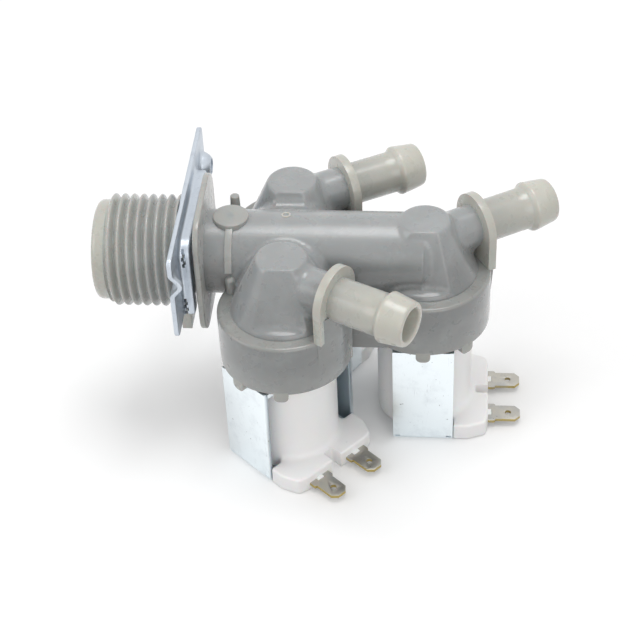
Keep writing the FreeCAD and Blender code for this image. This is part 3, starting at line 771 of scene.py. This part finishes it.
def paint_moulding(piece):
    """Painted shade darkens the manifold's underside, the domes' near facets and the neck; the
    gate's surroundings are whitened.
    """
    along, across, height = mesh_points(piece).T
    on_pipe = np.hypot(across, height) < 10.9
    # Painted shade, darker towards the manifold's underside.
    deep_and_shade = 0.57 * on_pipe * eased(-height, -7.2, 0.5)
    for _, x, y, _, _ in VALVES:
        on_dome = np.hypot(along - x, across - y) < 12.8
        # Painted shade on the near flat facet of each dome.
        facet_shade = 1.0 - eased(across - y, -9.5, -4.0)
        below_top = 1.0 - eased(height, 8.0, 9.5)
        deep_and_shade = np.maximum(deep_and_shade, 0.36 * facet_shade * on_dome * below_top)
    # Painted shade on the neck behind the flange.
    neck = (1.0 - eased(along, 11.0, 16.0)) * eased(-height, -10.2, -3.0)
    deep_and_shade = np.maximum(deep_and_shade, neck)
    from_gate = np.hypot(along - GATE_X, (across + 0.8) * 0.9)
    near_gate = (1.0 - eased(from_gate, 1.2, 6.5)) * eased(height, 7.5, 9.3)
    paint(piece, 0.55 * near_gate, deep_and_shade * (1.0 - near_gate), 0.0)


class INLETVALVE_OT_finishes(bpy.types.Operator):
    """Make the shader groups and every material"""
    bl_idname = "inletvalve.finishes"
    bl_label = "Finishes"

    def execute(self, context):
        tones = finishes()
        moulded_skin()
        plated_skin()
        painted_tone()
        body = material_with("body_plastic", "moulded_skin",
                             {"Cloud": 0.05, "Grain": 0.5, "Roughness": 0.30},
                             Subsurface_Weight=0.2, Subsurface_Scale=0.0012, IOR=1.5,
                             Coat_Weight=0.6, Coat_Roughness=0.22,
                             Sheen_Weight=0.25, Sheen_Roughness=0.4)
        toned(body, {"Thick": tones.body_grey, "Thin": tones.body_cream,
                     "Shade_and_deep": tones.body_deep_and_shade, "Bright": tones.barb_cream_and_highlight})
        material_with("coil_plastic", "moulded_skin",
                      {"Color": colour(tones.coil_white), "Cloud": 0.02, "Grain": 0.4,
                       "Roughness": 0.36}, Subsurface_Weight=0.15, Subsurface_Scale=0.001, IOR=1.5)
        material_with("plate_zinc", "plated_skin",
                      {"Color": colour(tones.zinc_tint), "Scratches": 0.6, "Stains": 0.35,
                       "Roughness": 0.4}, Metallic=0.9)
        yoke = material_with("yoke_zinc", "plated_skin",
                             {"Scratches": 0.45, "Stains": 0.2, "Roughness": 0.3}, Metallic=1.0)
        # The dark colour is painted shade on the yokes' inner faces.
        toned(yoke, {"Thick": (0.86, 0.92, 0.95), "Shade_and_deep": (0.30, 0.36, 0.40)})
        terminal_material(tones)
        inner_materials()
        return {"FINISHED"}


def inner_materials():
    """Metals, rubbers and plastics of the pieces inside."""
    for name, tint, scratches, stains, roughness in (
            ("sleeve_steel", (0.55, 0.58, 0.60), 0.3, 0.2, 0.35),
            ("armature_steel", (0.58, 0.58, 0.58), 0.6, 0.1, 0.25),
            ("spring_steel", (0.66, 0.66, 0.66), 0.2, 0.1, 0.28),
            ("winding_copper", (0.60, 0.24, 0.09), 0.2, 0.15, 0.32)):
        material_with(name, "plated_skin",
                      {"Color": colour(tint), "Scratches": scratches, "Stains": stains,
                       "Roughness": roughness}, Metallic=1.0)
    for name, tint, grain, roughness in (
            ("diaphragm_rubber", (0.030, 0.030, 0.030), 0.8, 0.6),
            ("washer_rubber", (0.028, 0.028, 0.028), 0.8, 0.6),
            ("seal_rubber", (0.035, 0.035, 0.035), 0.8, 0.6),
            ("strainer_plastic", (0.76, 0.78, 0.74), 0.5, 0.42),
            ("holder_plastic", (0.70, 0.70, 0.64), 0.5, 0.42),
            ("tube_plastic", (0.60, 0.60, 0.53), 0.5, 0.42),
            ("insert_plastic", (0.72, 0.72, 0.68), 0.5, 0.42),
            ("bobbin_plastic", (0.66, 0.66, 0.60), 0.5, 0.42)):
        material_with(name, "moulded_skin",
                      {"Color": colour(tint), "Cloud": 0.05, "Grain": grain,
                       "Roughness": roughness})


def terminal_material(tones):
    """Tinned flats, with bare brass where the blade's edges were sheared."""
    material = material_with("terminal_brass", "plated_skin",
                             {"Scratches": 0.5, "Stains": 0.5, "Roughness": 0.36}, Metallic=1.0)
    tree = material.node_tree
    effect = [node for node in tree.nodes if node.type == "GROUP"][0]
    facing = tree.nodes.new("ShaderNodeNewGeometry")
    parts = tree.nodes.new("ShaderNodeSeparateXYZ")
    tree.links.new(facing.outputs["Normal"], parts.inputs["Vector"])
    level = calculated(tree, "ABSOLUTE", parts.outputs["Z"])
    flat = ramp(tree, level, 0.35, 0.7)
    tone = mixed(tree, flat, colour(tones.brass_tint), colour(tones.tin_tint))
    tree.links.new(tone, effect.inputs["Color"])


class INLETVALVE_OT_body(bpy.types.Operator):
    """Moulded body: manifold, domes and root pipes in one skin with fillets, its bores cut out"""
    bl_idname = "inletvalve.body"
    bl_label = "Moulded body"

    def execute(self, context):
        size = sizes()
        manifold = size.manifold_diameter / MM / 2
        pipe = size.nozzle_diameter / MM / 2
        soft = [laid_along_x(turned("manifold", [(manifold, 0.0), (manifold, 58.0)], 192))]
        for name, x, y, nozzle_angle, _ in VALVES:
            soft.append(placed(dome(name + "_dome"), x, y))
            root = laid_along_x(turned(name + "_root", [(pipe, 0.0), (pipe, 14.0)], 96))
            soft.append(placed(placed(root, z=NOZZLE_Z), x, y, 0.0, nozzle_angle))
        main = fused(joined(soft, "moulded_body"), BODY_VOXEL)
        filleted(main, size.fillet_radius / MM, BODY_VOXEL)
        relaxed(main, 1)
        thinned(main, 230000)
        cut(main, body_hollows(), "MANIFOLD")
        thinned(main, 190000)
        paint_moulding(main)
        finished(main, "body_plastic", "valve_body")
        return {"FINISHED"}


class INLETVALVE_OT_chambers(bpy.types.Operator):
    """Round valve chambers under the domes and the webs between them"""
    bl_idname = "inletvalve.chambers"
    bl_label = "Valve chambers"

    def execute(self, context):
        radius = sizes().chamber_diameter / MM / 2
        for name, x, y, _, _ in VALVES:
            cup = chamber(name + "_chamber", radius)
            points = mesh_points(cup)
            # Painted highlight along the shoulder's edge, lighter and brighter than the wall.
            rim = eased(points[:, 2], -5.2, -4.5) * (np.hypot(points[:, 0], points[:, 1]) > 14.5)
            low = eased(-points[:, 2], 9.0, 18.0)
            paint(cup, 0.22 * low + 0.25 * rim, 0.51 - 0.24 * low, 0.12 * rim)
            finished(placed(cup, x, y), "body_plastic", "valve_body")
        webs = [chamber_web("front_web", -1.0), chamber_web("rear_web", 1.0)]
        whole = joined(webs, "chamber_webs")
        # The webs' deep tone is painted shade between the chambers.
        paint(whole, 0.15, 0.6, 0.0)
        finished(whole, "body_plastic", "valve_body")
        return {"FINISHED"}


class INLETVALVE_OT_nozzles(bpy.types.Operator):
    """Barbed hose nozzles with their round shields"""
    bl_idname = "inletvalve.nozzles"
    bl_label = "Hose nozzles"

    def execute(self, context):
        size = sizes()
        pipe = size.nozzle_diameter / MM / 2
        barb = size.barb_diameter / MM / 2
        cup = size.chamber_diameter / MM / 2
        for name, x, y, nozzle_angle, _ in VALVES:
            tube = spout(name + "_spout", pipe, barb - 0.1)
            reach = mesh_points(tube)[:, 0]
            paint(tube, 0.72 + 0.28 * eased(reach, 18.0, 26.0), 0.0, eased(reach, 26.8, 27.8))
            wall = shield(name + "_shield")
            out = np.hypot(mesh_points(wall)[:, 1], mesh_points(wall)[:, 2] - NOZZLE_Z)
            paint(wall, 0.85, 0.0, 0.5 * eased(out, 5.5, 7.6))
            rise = outlet_wall(name + "_outlet_wall", cup)
            paint(rise, 0.15, 0.45, 0.0)
            nozzle = joined([tube, wall, rise], name + "_nozzle")
            placed(nozzle, x, y, 0.0, nozzle_angle)
            finished(nozzle, "body_plastic", "valve_body")
        return {"FINISHED"}


class INLETVALVE_OT_neck(bpy.types.Operator):
    """Flange, collar, gate disc, strap, pin and gate mark round the neck"""
    bl_idname = "inletvalve.neck"
    bl_label = "Neck fittings"

    def execute(self, context):
        flange, collar = flange_pieces()
        middle = eased(np.abs(mesh_points(flange)[:, 0] - 5.6), 0.3, 0.6)
        paint(flange, 0.75 - 0.35 * middle, 0.25 * middle, 0.0)
        paint(collar, 0.7, 0.0, 0.0)
        finished(joined([flange, collar], "flange_and_collar"), "body_plastic", "valve_body")
        fittings = [gate_disc(), tapered_pin()] + neck_strap()
        for piece in fittings:
            paint(piece, 0.4, 0.0, 0.0)
        finished(joined(fittings, "neck_fittings"), "body_plastic", "valve_body")
        mark = gate_mark()
        paint(mark, 0.5, 0.0, 0.75)
        finished(mark, "body_plastic", "valve_body")
        arrow = flow_arrow(sizes().manifold_diameter / MM / 2 + 0.1)
        paint(arrow, 0.35, 0.0, 0.0)
        finished(arrow, "body_plastic", "valve_body")
        return {"FINISHED"}


class INLETVALVE_OT_teeth(bpy.types.Operator):
    """Teeth under the chamber rims that index the coils"""
    bl_idname = "inletvalve.teeth"
    bl_label = "Rim teeth"

    def execute(self, context):
        for name, x, y, _, coil_angle in VALVES:
            teeth = [rim_tooth("tooth_%d" % index, angle)
                     for index, angle in enumerate((-90.0, -48.0, 48.0, 90.0))]
            row = placed(joined(teeth, name + "_teeth"), x, y, 0.0, coil_angle)
            paint(row, 0.65, 0.2, 0.0)
            finished(row, "body_plastic", "valve_body")
        return {"FINISHED"}


def thread_turns(root, crest):
    """Right-hand thread: one turn's profile, wound, trimmed at both ends and thickened inwards."""
    half = ((0.0, 0.0), (0.15, 0.04), (0.28, 0.15), (0.42, 0.36), (0.62, 0.72), (0.82, 1.06),
            (0.97, 1.26), (1.07, 1.34), (PITCH / 2, 1.36))
    flank = [(-along, crest - down) for along, down in reversed(half)]
    steps = flank + [(along, crest - down) for along, down in half[1:]]
    start = FIRST_CREST_X - PITCH
    turns = outline("thread_turns", [(start + along, 0.0, radius) for along, radius in steps])
    modified(turns, "SCREW", axis="X", angle=2 * math.pi, steps=128, render_steps=128,
             screw_offset=PITCH, iterations=9, use_merge_vertices=True, merge_threshold=0.001)
    sliced(turns, (-17.4, 0.0, 0.0), (-1.0, 0.0, 0.0), fill=False)
    sliced(turns, (-0.02, 0.0, 0.0), (1.0, 0.0, 0.0), fill=False)
    for point in turns.data.vertices:
        most = root - 0.1 + max(0.0, (point.co.x + 17.2) * 2.4)
        radius = math.hypot(point.co.y, point.co.z)
        if radius > most:
            point.co.y *= most / radius
            point.co.z *= most / radius
    sleeve_facing_out(turns, Vector((1.0, 0.0, 0.0)))
    return modified(turns, "SOLIDIFY", thickness=0.6, offset=-1.0)


class INLETVALVE_OT_inlet(bpy.types.Operator):
    """Threaded inlet in front of the plate"""
    bl_idname = "inletvalve.inlet"
    bl_label = "Threaded inlet"

    def execute(self, context):
        crest = sizes().thread_diameter / MM / 2
        root = crest - THREAD_DEPTH
        nose = turned("nose", [(root - 1.15, -20.2), (root - 0.75, -20.1), (root - 0.35, -19.8),
                               (root - 0.1, -19.35), (root, -18.8), (root, -0.02)], 192)
        laid_along_x(nose)
        bore = turned("inlet_bore", [(9.9, -21.0), (9.9, -20.3), (9.5, -20.0), (9.3, -19.6),
                                     (9.3, -5.0), (7.6, -5.0), (7.6, 1.0)], 128)
        cut(nose, laid_along_x(bore))
        paint(nose, 1.0, 0.0, 0.15)
        turns = thread_turns(root, crest)
        points = mesh_points(turns)
        high = eased(np.hypot(points[:, 1], points[:, 2]), root, crest)
        far = eased(points[:, 0], -17.0, -6.0)
        paint(turns, 0.66 - 0.25 * far, 0.22 * (1.0 - high), 0.0)
        inlet = joined([nose, turns], "threaded_inlet")
        finished(inlet, "body_plastic", "valve_body")
        return {"FINISHED"}


def crimp(piece):
    """Press a half-round dent into the plate's near edge, towards +X."""
    for point in piece.data.vertices:
        up = (point.co.z - CRIMP_Z) / CRIMP_HALF_HEIGHT
        if abs(up) < 1.0 and point.co.y < FOLD_Y and point.co.x < 3.0:
            reach = min(1.0, (FOLD_Y - point.co.y) / 6.5)
            point.co.x += CRIMP_DEPTH * (math.cos(math.pi * up) * 0.5 + 0.5) * reach * reach


def torn_slit(name, x, low, high):
    """Ragged cut along the fold between the plate's flat and its pad."""
    tools = []
    count = max(2, int((high - low) / 0.8))
    rise = (high - low) / count
    for index in range(count):
        lean = (0.0, 0.28, -0.12, 0.2)[index % 4]
        base = low + rise * index
        tools.append(block(name, (x - 0.1 + lean, FOLD_Y, base - 0.15),
                           (x + 0.55 + lean, -11.2, base + rise)))
    return tools


class INLETVALVE_OT_plate(bpy.types.Operator):
    """Zinc-plated mounting plate with its drawn pad"""
    bl_idname = "inletvalve.plate"
    bl_label = "Mounting plate"

    def execute(self, context):
        sheet = sizes().sheet_thickness / MM
        flat = block("mounting_plate_sheet", (0.0, -21.5, PLATE_BOTTOM), (sheet, 34.0, PLATE_TOP))
        bevelled(flat, along_x, 1.6, 6)
        pad = block("pad", (0.0, -12.6, PLATE_BOTTOM), (3.9, 21.0, 10.55))
        bevelled(pad, lambda at, way: along_x(at, way) and at.z > 0.0, 4.0, 10)
        bevelled(pad, lambda at, way: at.x > 3.8 and abs(way.x) < 0.1, 0.45, 3)
        boss = laid_along_x(turned("boss", [(3.9, 0.0), (3.8, 1.0), (3.5, 2.0), (3.0, 2.9),
                                            (2.5, 3.5), (2.1, 3.8)], 64))
        placed(boss, 0.0, BOSS_Y, BOSS_Z)
        plate = fused(joined([flat, pad, boss], "mounting_plate_sheet"), PLATE_VOXEL)
        filleted(plate, 0.45, PLATE_VOXEL)
        relaxed(plate, 2)
        crimp(plate)
        thinned(plate, 90000)
        inner = block("pad_hollow", (-1.0, -11.4, -15.0), (2.7, 19.8, 9.35))
        bevelled(inner, lambda at, way: along_x(at, way) and at.z > 0.0, 2.8, 6)
        slot = laid_along_x(turned("slot", [(10.4, -1.0), (10.4, 6.0)], 96))
        slot_foot = block("slot_foot", (-1.0, -10.4, -30.0), (6.0, 10.4, 0.0))
        hole = placed(laid_along_x(turned("screw_hole", [(1.9, -1.0), (1.9, 6.0)], 48)),
                      0.0, BOSS_Y, BOSS_Z)
        tears = torn_slit("tear_upper", 2.0, 4.9, 9.4) + torn_slit("tear_lower", 1.5, -9.2, -4.6)
        for tool in [inner, slot, slot_foot, hole] + tears:
            cut(plate, tool, "MANIFOLD")
        finished(plate, "plate_zinc", "mounting_plate")
        return {"FINISHED"}


def coil_foot():
    """Low terminal block with its slanted corners, drawn as a footprint and raised."""
    corners = [(7.5, -13.8), (11.2, -13.8), (15.5, -12.1), (16.1, -9.6), (16.1, 9.6),
               (15.5, 12.1), (11.2, 13.8), (7.5, 13.8)]
    foot = outline("coil_foot", [(x, y, FLOOR_Z) for x, y in corners], closed=True)
    select_only(foot)
    bpy.ops.object.mode_set(mode="EDIT")
    bpy.ops.mesh.select_all(action="SELECT")
    height = 4.6
    bpy.ops.mesh.extrude_region_move(TRANSFORM_OT_translate={"value": (0.0, 0.0, height)})
    bpy.ops.object.mode_set(mode="OBJECT")
    facing_out(foot)
    bevelled(foot, lambda at, way: upright(at, way) and at.x > 10.0, 0.5, 3)
    return bevelled(foot, lambda at, way: at.z > FLOOR_Z + height - 0.1 and at.x > 8.0
                    and abs(way.z) < 0.1, 0.35, 3)


def coil_moulding():
    """White can with the low terminal block at its foot, terminals towards +X."""
    radius = sizes().coil_diameter / MM / 2
    can = turned("coil", [(radius, COIL_BASE_Z)] + rounded(radius, COIL_TOP_Z, 0.8), 128)
    coil = fused(joined([can, coil_foot()], "coil"), COIL_VOXEL)
    filleted(coil, 0.9, COIL_VOXEL)
    relaxed(coil, 1)
    notch = block("foot_notch", (12.9, -1.5, FLOOR_Z - 1.0), (18.0, 1.5, FLOOR_Z + 6.0))
    bevelled(notch, lambda at, way: upright(at, way) and at.x < 13.5, 0.6, 4)
    cut(coil, notch)
    pocket = turned("pocket", [(SLEEVE_RADIUS, COIL_BASE_Z - 2.0), (SLEEVE_RADIUS, -45.4),
                               (10.6, -45.4), (10.6, -21.6), (SLEEVE_RADIUS, -21.6),
                               (SLEEVE_RADIUS, -19.0)], 96)
    cut(coil, pocket)
    cut(coil, block("flat_back", (-8.0, -14.0, FLOOR_Z - 3.0), (7.5, 14.0, COIL_BASE_Z)))
    for side in (-1.0, 1.0):
        middle = side * BLADE_SIDE
        cut(coil, block("blade_slot", (9.4, middle - 3.0, BLADE_Z),
                        (18.0, middle + 3.0, BLADE_Z + BLADE_THICKNESS)))
    thinned(coil, 40000)
    keys = []
    for side in (-1.0, 1.0):
        middle = side * BLADE_SIDE
        key = block("key", (15.6, middle - 0.95, BLADE_Z - 0.15),
                    (17.0, middle + 0.95, BLADE_Z + 1.0))
        keys.append(modified(key, "BEVEL", width=0.15, segments=2))
    return joined([coil] + keys, "coil")


class INLETVALVE_OT_coils(bpy.types.Operator):
    """White overmould of each coil"""
    bl_idname = "inletvalve.coils"
    bl_label = "Coils"

    def execute(self, context):
        pattern = coil_moulding()
        for name, x, y, _, coil_angle in VALVES:
            piece = placed(copied(pattern, name + "_coil_moulding"), x, y, 0.0, coil_angle)
            finished(piece, "coil_plastic", name + "_coil_shell")
        bpy.data.objects.remove(pattern)
        return {"FINISHED"}


def folded_yoke():
    """Steel foot with two arms folded up at its ends, relief nicks at the folds."""
    sheet = sizes().sheet_thickness / MM
    outer = block("yoke", (-YOKE_HALF_WIDTH, -YOKE_HALF_SPAN, FLOOR_Z),
                  (YOKE_HALF_WIDTH, YOKE_HALF_SPAN, YOKE_TOP_Z))
    bevelled(outer, lambda at, way: along_x(at, way) and at.z < FLOOR_Z + 1.0, 1.6, 6)
    inner = block("yoke_inside", (-9.0, -YOKE_HALF_SPAN + sheet, COIL_BASE_Z),
                  (9.0, YOKE_HALF_SPAN - sheet, -10.0))
    bevelled(inner, lambda at, way: along_x(at, way) and at.z < COIL_BASE_Z + 1.0, 0.4, 3)
    cut(outer, inner)
    cut(outer, turned("yoke_hole", [(SLEEVE_RADIUS, FLOOR_Z - 1.0),
                                    (SLEEVE_RADIUS, COIL_BASE_Z + 1.0)], 64))
    for side in (-1.0, 1.0):
        for end in (-1.0, 1.0):
            x = end * 6.3
            y = side * YOKE_HALF_SPAN
            cut(outer, block("nick", (x - 0.6, y - 0.9, FLOOR_Z + 1.0),
                             (x + 0.6, y + 0.9, FLOOR_Z + 1.45)))
    return edges_rounded(outer, 0.14, 2)


class INLETVALVE_OT_yokes(bpy.types.Operator):
    """Folded steel yoke round each coil"""
    bl_idname = "inletvalve.yokes"
    bl_label = "Yokes"

    def execute(self, context):
        pattern = folded_yoke()
        points = mesh_points(pattern)
        # Painted shade on the inner faces of the arms and the foot.
        inside = (np.abs(points[:, 1]) < 13.6) * (points[:, 2] > COIL_BASE_Z + 0.1)
        paint(pattern, 0.0, 0.85 * inside, 0.0)
        for name, x, y, _, coil_angle in VALVES:
            piece = placed(copied(pattern, name + "_folded_yoke"), x, y, 0.0, coil_angle)
            finished(piece, "yoke_zinc", name + "_yoke")
        bpy.data.objects.remove(pattern)
        return {"FINISHED"}


def blade():
    """Terminal blade about y = 0, cut from strip: root with a window, coined tip, hole."""
    low = BLADE_Z
    high = low + BLADE_THICKNESS
    strip = block("blade", (9.5, -2.4, low), (24.1, 2.4, high))
    bevelled(strip, lambda at, way: upright(at, way) and at.x > 20.0, 1.25, 1)
    root = block("blade_root", (9.5, -3.0, low), (18.0, 3.0, high))
    bevelled(root, lambda at, way: upright(at, way) and at.x > 15.0, 0.5, 2)
    unite(strip, root)
    cut(strip, placed(turned("hole", [(0.75, low - 1.0), (0.75, high + 1.0)], 32), 21.15))
    cut(strip, block("window", (16.1, -1.0, low - 1.0), (17.05, 1.0, high + 1.0)))
    return edges_rounded(strip, 0.12, 2)


class INLETVALVE_OT_terminals(bpy.types.Operator):
    """Two terminal blades on each coil"""
    bl_idname = "inletvalve.terminals"
    bl_label = "Terminals"

    def execute(self, context):
        pattern = blade()
        for name, x, y, _, coil_angle in VALVES:
            for side, label in ((-1.0, "right"), (1.0, "left")):
                piece = copied(pattern, "%s_blade_%s" % (name, label))
                placed(piece, 0.0, side * BLADE_SIDE)
                placed(piece, x, y, 0.0, coil_angle)
                finished(piece, "terminal_brass", "%s_terminal_%s" % (name, label))
        bpy.data.objects.remove(pattern)
        return {"FINISHED"}


class INLETVALVE_OT_inner_pieces(bpy.types.Operator):
    """Finishes for the pieces that are kept as they are, and a mesh of its own for each armature
    spring
    """
    bl_idname = "inletvalve.inner_pieces"
    bl_label = "Inner pieces"

    def execute(self, context):
        slots = {part["node"]: part["material_slot"] for part in frame["record"]["subparts"]}
        for name, node in frame["nodes"].items():
            node.data.materials.clear()
            node.data.materials.append(finish_of(slots[name]))
        for name, _, _, _, _ in VALVES:
            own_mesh(frame["nodes"][name + "_armature_spring"])
        return {"FINISHED"}


class INLETVALVE_OT_stage(bpy.types.Operator):
    """Pale floor, soft lamps and the camera"""
    bl_idname = "inletvalve.stage"
    bl_label = "Stage"

    def execute(self, context):
        scene = context.scene
        scene.view_settings.view_transform = "Standard"
        add_floor()
        add_world(scene)
        add_lamp("softbox_top", (0.08, 0.10, 0.80), (0.03, 0.0, -0.02), 0.4, 2.4)
        add_lamp("softbox_left", (-0.70, -0.25, 0.40), (0.0, 0.0, 0.0), 0.5, 1.3)
        add_lamp("softbox_front", (0.35, -0.75, 0.35), (0.03, 0.0, -0.02), 0.6, 1.5)
        add_camera(scene)
        return {"FINISHED"}


def add_floor():
    """Pale paper a hair under the yokes, a little brighter for the camera than for other rays."""
    bpy.ops.mesh.primitive_plane_add(size=6.0, location=(0.0, 0.0, (FLOOR_Z - 0.02) * MM))
    floor = bpy.context.active_object
    floor.name = "floor"
    material = bpy.data.materials.new("floor_paper")
    material.use_nodes = True
    tree = material.node_tree
    tree.nodes.clear()
    output = tree.nodes.new("ShaderNodeOutputMaterial")
    diffuse = tree.nodes.new("ShaderNodeBsdfDiffuse")
    glow = tree.nodes.new("ShaderNodeEmission")
    glow.inputs["Color"].default_value = (1.0, 1.0, 1.0, 1.0)
    path = tree.nodes.new("ShaderNodeLightPath")
    seen = calculated(tree, "MAXIMUM", path.outputs["Is Camera Ray"],
                      path.outputs["Is Glossy Ray"])
    tree.links.new(calculated(tree, "MULTIPLY", seen, 0.04), glow.inputs["Strength"])
    paper = mixed(tree, seen, (0.52, 0.52, 0.52), (0.95, 0.95, 0.95))
    tree.links.new(paper, diffuse.inputs["Color"])
    both = tree.nodes.new("ShaderNodeAddShader")
    tree.links.new(diffuse.outputs["BSDF"], both.inputs[0])
    tree.links.new(glow.outputs["Emission"], both.inputs[1])
    tree.links.new(both.outputs["Shader"], output.inputs["Surface"])
    floor.data.materials.append(material)


def add_world(scene):
    world = bpy.data.worlds.new("studio")
    scene.world = world
    world.use_nodes = True
    tree = world.node_tree
    background = tree.nodes["Background"]
    path = tree.nodes.new("ShaderNodeLightPath")
    seen = calculated(tree, "MAXIMUM", path.outputs["Is Camera Ray"],
                      path.outputs["Is Glossy Ray"])
    seen = calculated(tree, "MAXIMUM", seen, path.outputs["Is Transmission Ray"])
    strength = ramp(tree, seen, 0.0, 1.0, 0.66, 1.0)
    tree.links.new(strength, background.inputs["Strength"])
    background.inputs["Color"].default_value = (1.0, 1.0, 1.0, 1.0)


def add_lamp(name, place, target, size, power):
    bpy.ops.object.light_add(type="AREA", location=place)
    lamp = bpy.context.active_object
    lamp.name = name
    lamp.data.shape = "SQUARE"
    lamp.data.size = size
    lamp.data.energy = power
    way = Vector(target) - Vector(place)
    lamp.rotation_euler = way.to_track_quat("-Z", "Y").to_euler()


def add_camera(scene):
    """Camera that was fitted to the photograph: place, directions and lens."""
    right = Vector((0.99660, 0.07379, -0.03665))
    up = Vector((-0.02038, 0.65183, 0.75809))
    back = Vector((0.07983, -0.75477, 0.65112))
    place = Vector((65.62, -316.21, 251.5)) * MM
    bpy.ops.object.camera_add()
    camera = bpy.context.active_object
    camera.name = "camera"
    turn = Matrix((right, up, back)).transposed().to_4x4()
    camera.matrix_world = Matrix.Translation(place) @ turn
    camera.data.sensor_width = 36.0
    camera.data.lens = 95.4
    camera.data.clip_start = 0.01
    camera.data.clip_end = 20.0
    scene.camera = camera


class INLETVALVE_PT_panel(bpy.types.Panel):
    """Sizes, finishes and steps of the inlet valve"""
    bl_idname = "INLETVALVE_PT_panel"
    bl_label = "Inlet valve"
    bl_space_type = "VIEW_3D"
    bl_region_type = "UI"
    bl_category = "Inlet valve"

    def draw(self, context):
        layout = self.layout
        for settings in (sizes(), finishes()):
            for label in settings.__annotations__:
                layout.prop(settings, label)
        for operator in OPERATORS:
            layout.operator(operator.bl_idname)


OPERATORS = (
    INLETVALVE_OT_finishes,
    INLETVALVE_OT_inner_pieces,
    INLETVALVE_OT_body,
    INLETVALVE_OT_chambers,
    INLETVALVE_OT_nozzles,
    INLETVALVE_OT_neck,
    INLETVALVE_OT_teeth,
    INLETVALVE_OT_inlet,
    INLETVALVE_OT_plate,
    INLETVALVE_OT_coils,
    INLETVALVE_OT_yokes,
    INLETVALVE_OT_terminals,
    INLETVALVE_OT_stage,
)
CLASSES = (InletValveSizes, InletValveFinishes) + OPERATORS + (INLETVALVE_PT_panel,)


def register():
    for item in CLASSES:
        bpy.utils.register_class(item)
    bpy.types.Scene.inlet_valve_sizes = PointerProperty(type=InletValveSizes)
    bpy.types.Scene.inlet_valve_finishes = PointerProperty(type=InletValveFinishes)


def unregister():
    del bpy.types.Scene.inlet_valve_finishes
    del bpy.types.Scene.inlet_valve_sizes
    for item in reversed(CLASSES):
        bpy.utils.unregister_class(item)


def main():
    register()
    bpy.ops.inletvalve.finishes()
    bpy.ops.inletvalve.inner_pieces()
    bpy.ops.inletvalve.body()
    bpy.ops.inletvalve.chambers()
    bpy.ops.inletvalve.nozzles()
    bpy.ops.inletvalve.neck()
    bpy.ops.inletvalve.teeth()
    bpy.ops.inletvalve.inlet()
    bpy.ops.inletvalve.plate()
    bpy.ops.inletvalve.coils()
    bpy.ops.inletvalve.yokes()
    bpy.ops.inletvalve.terminals()
    bpy.ops.inletvalve.stage()
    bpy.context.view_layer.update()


if __name__ == "__main__":
    main()
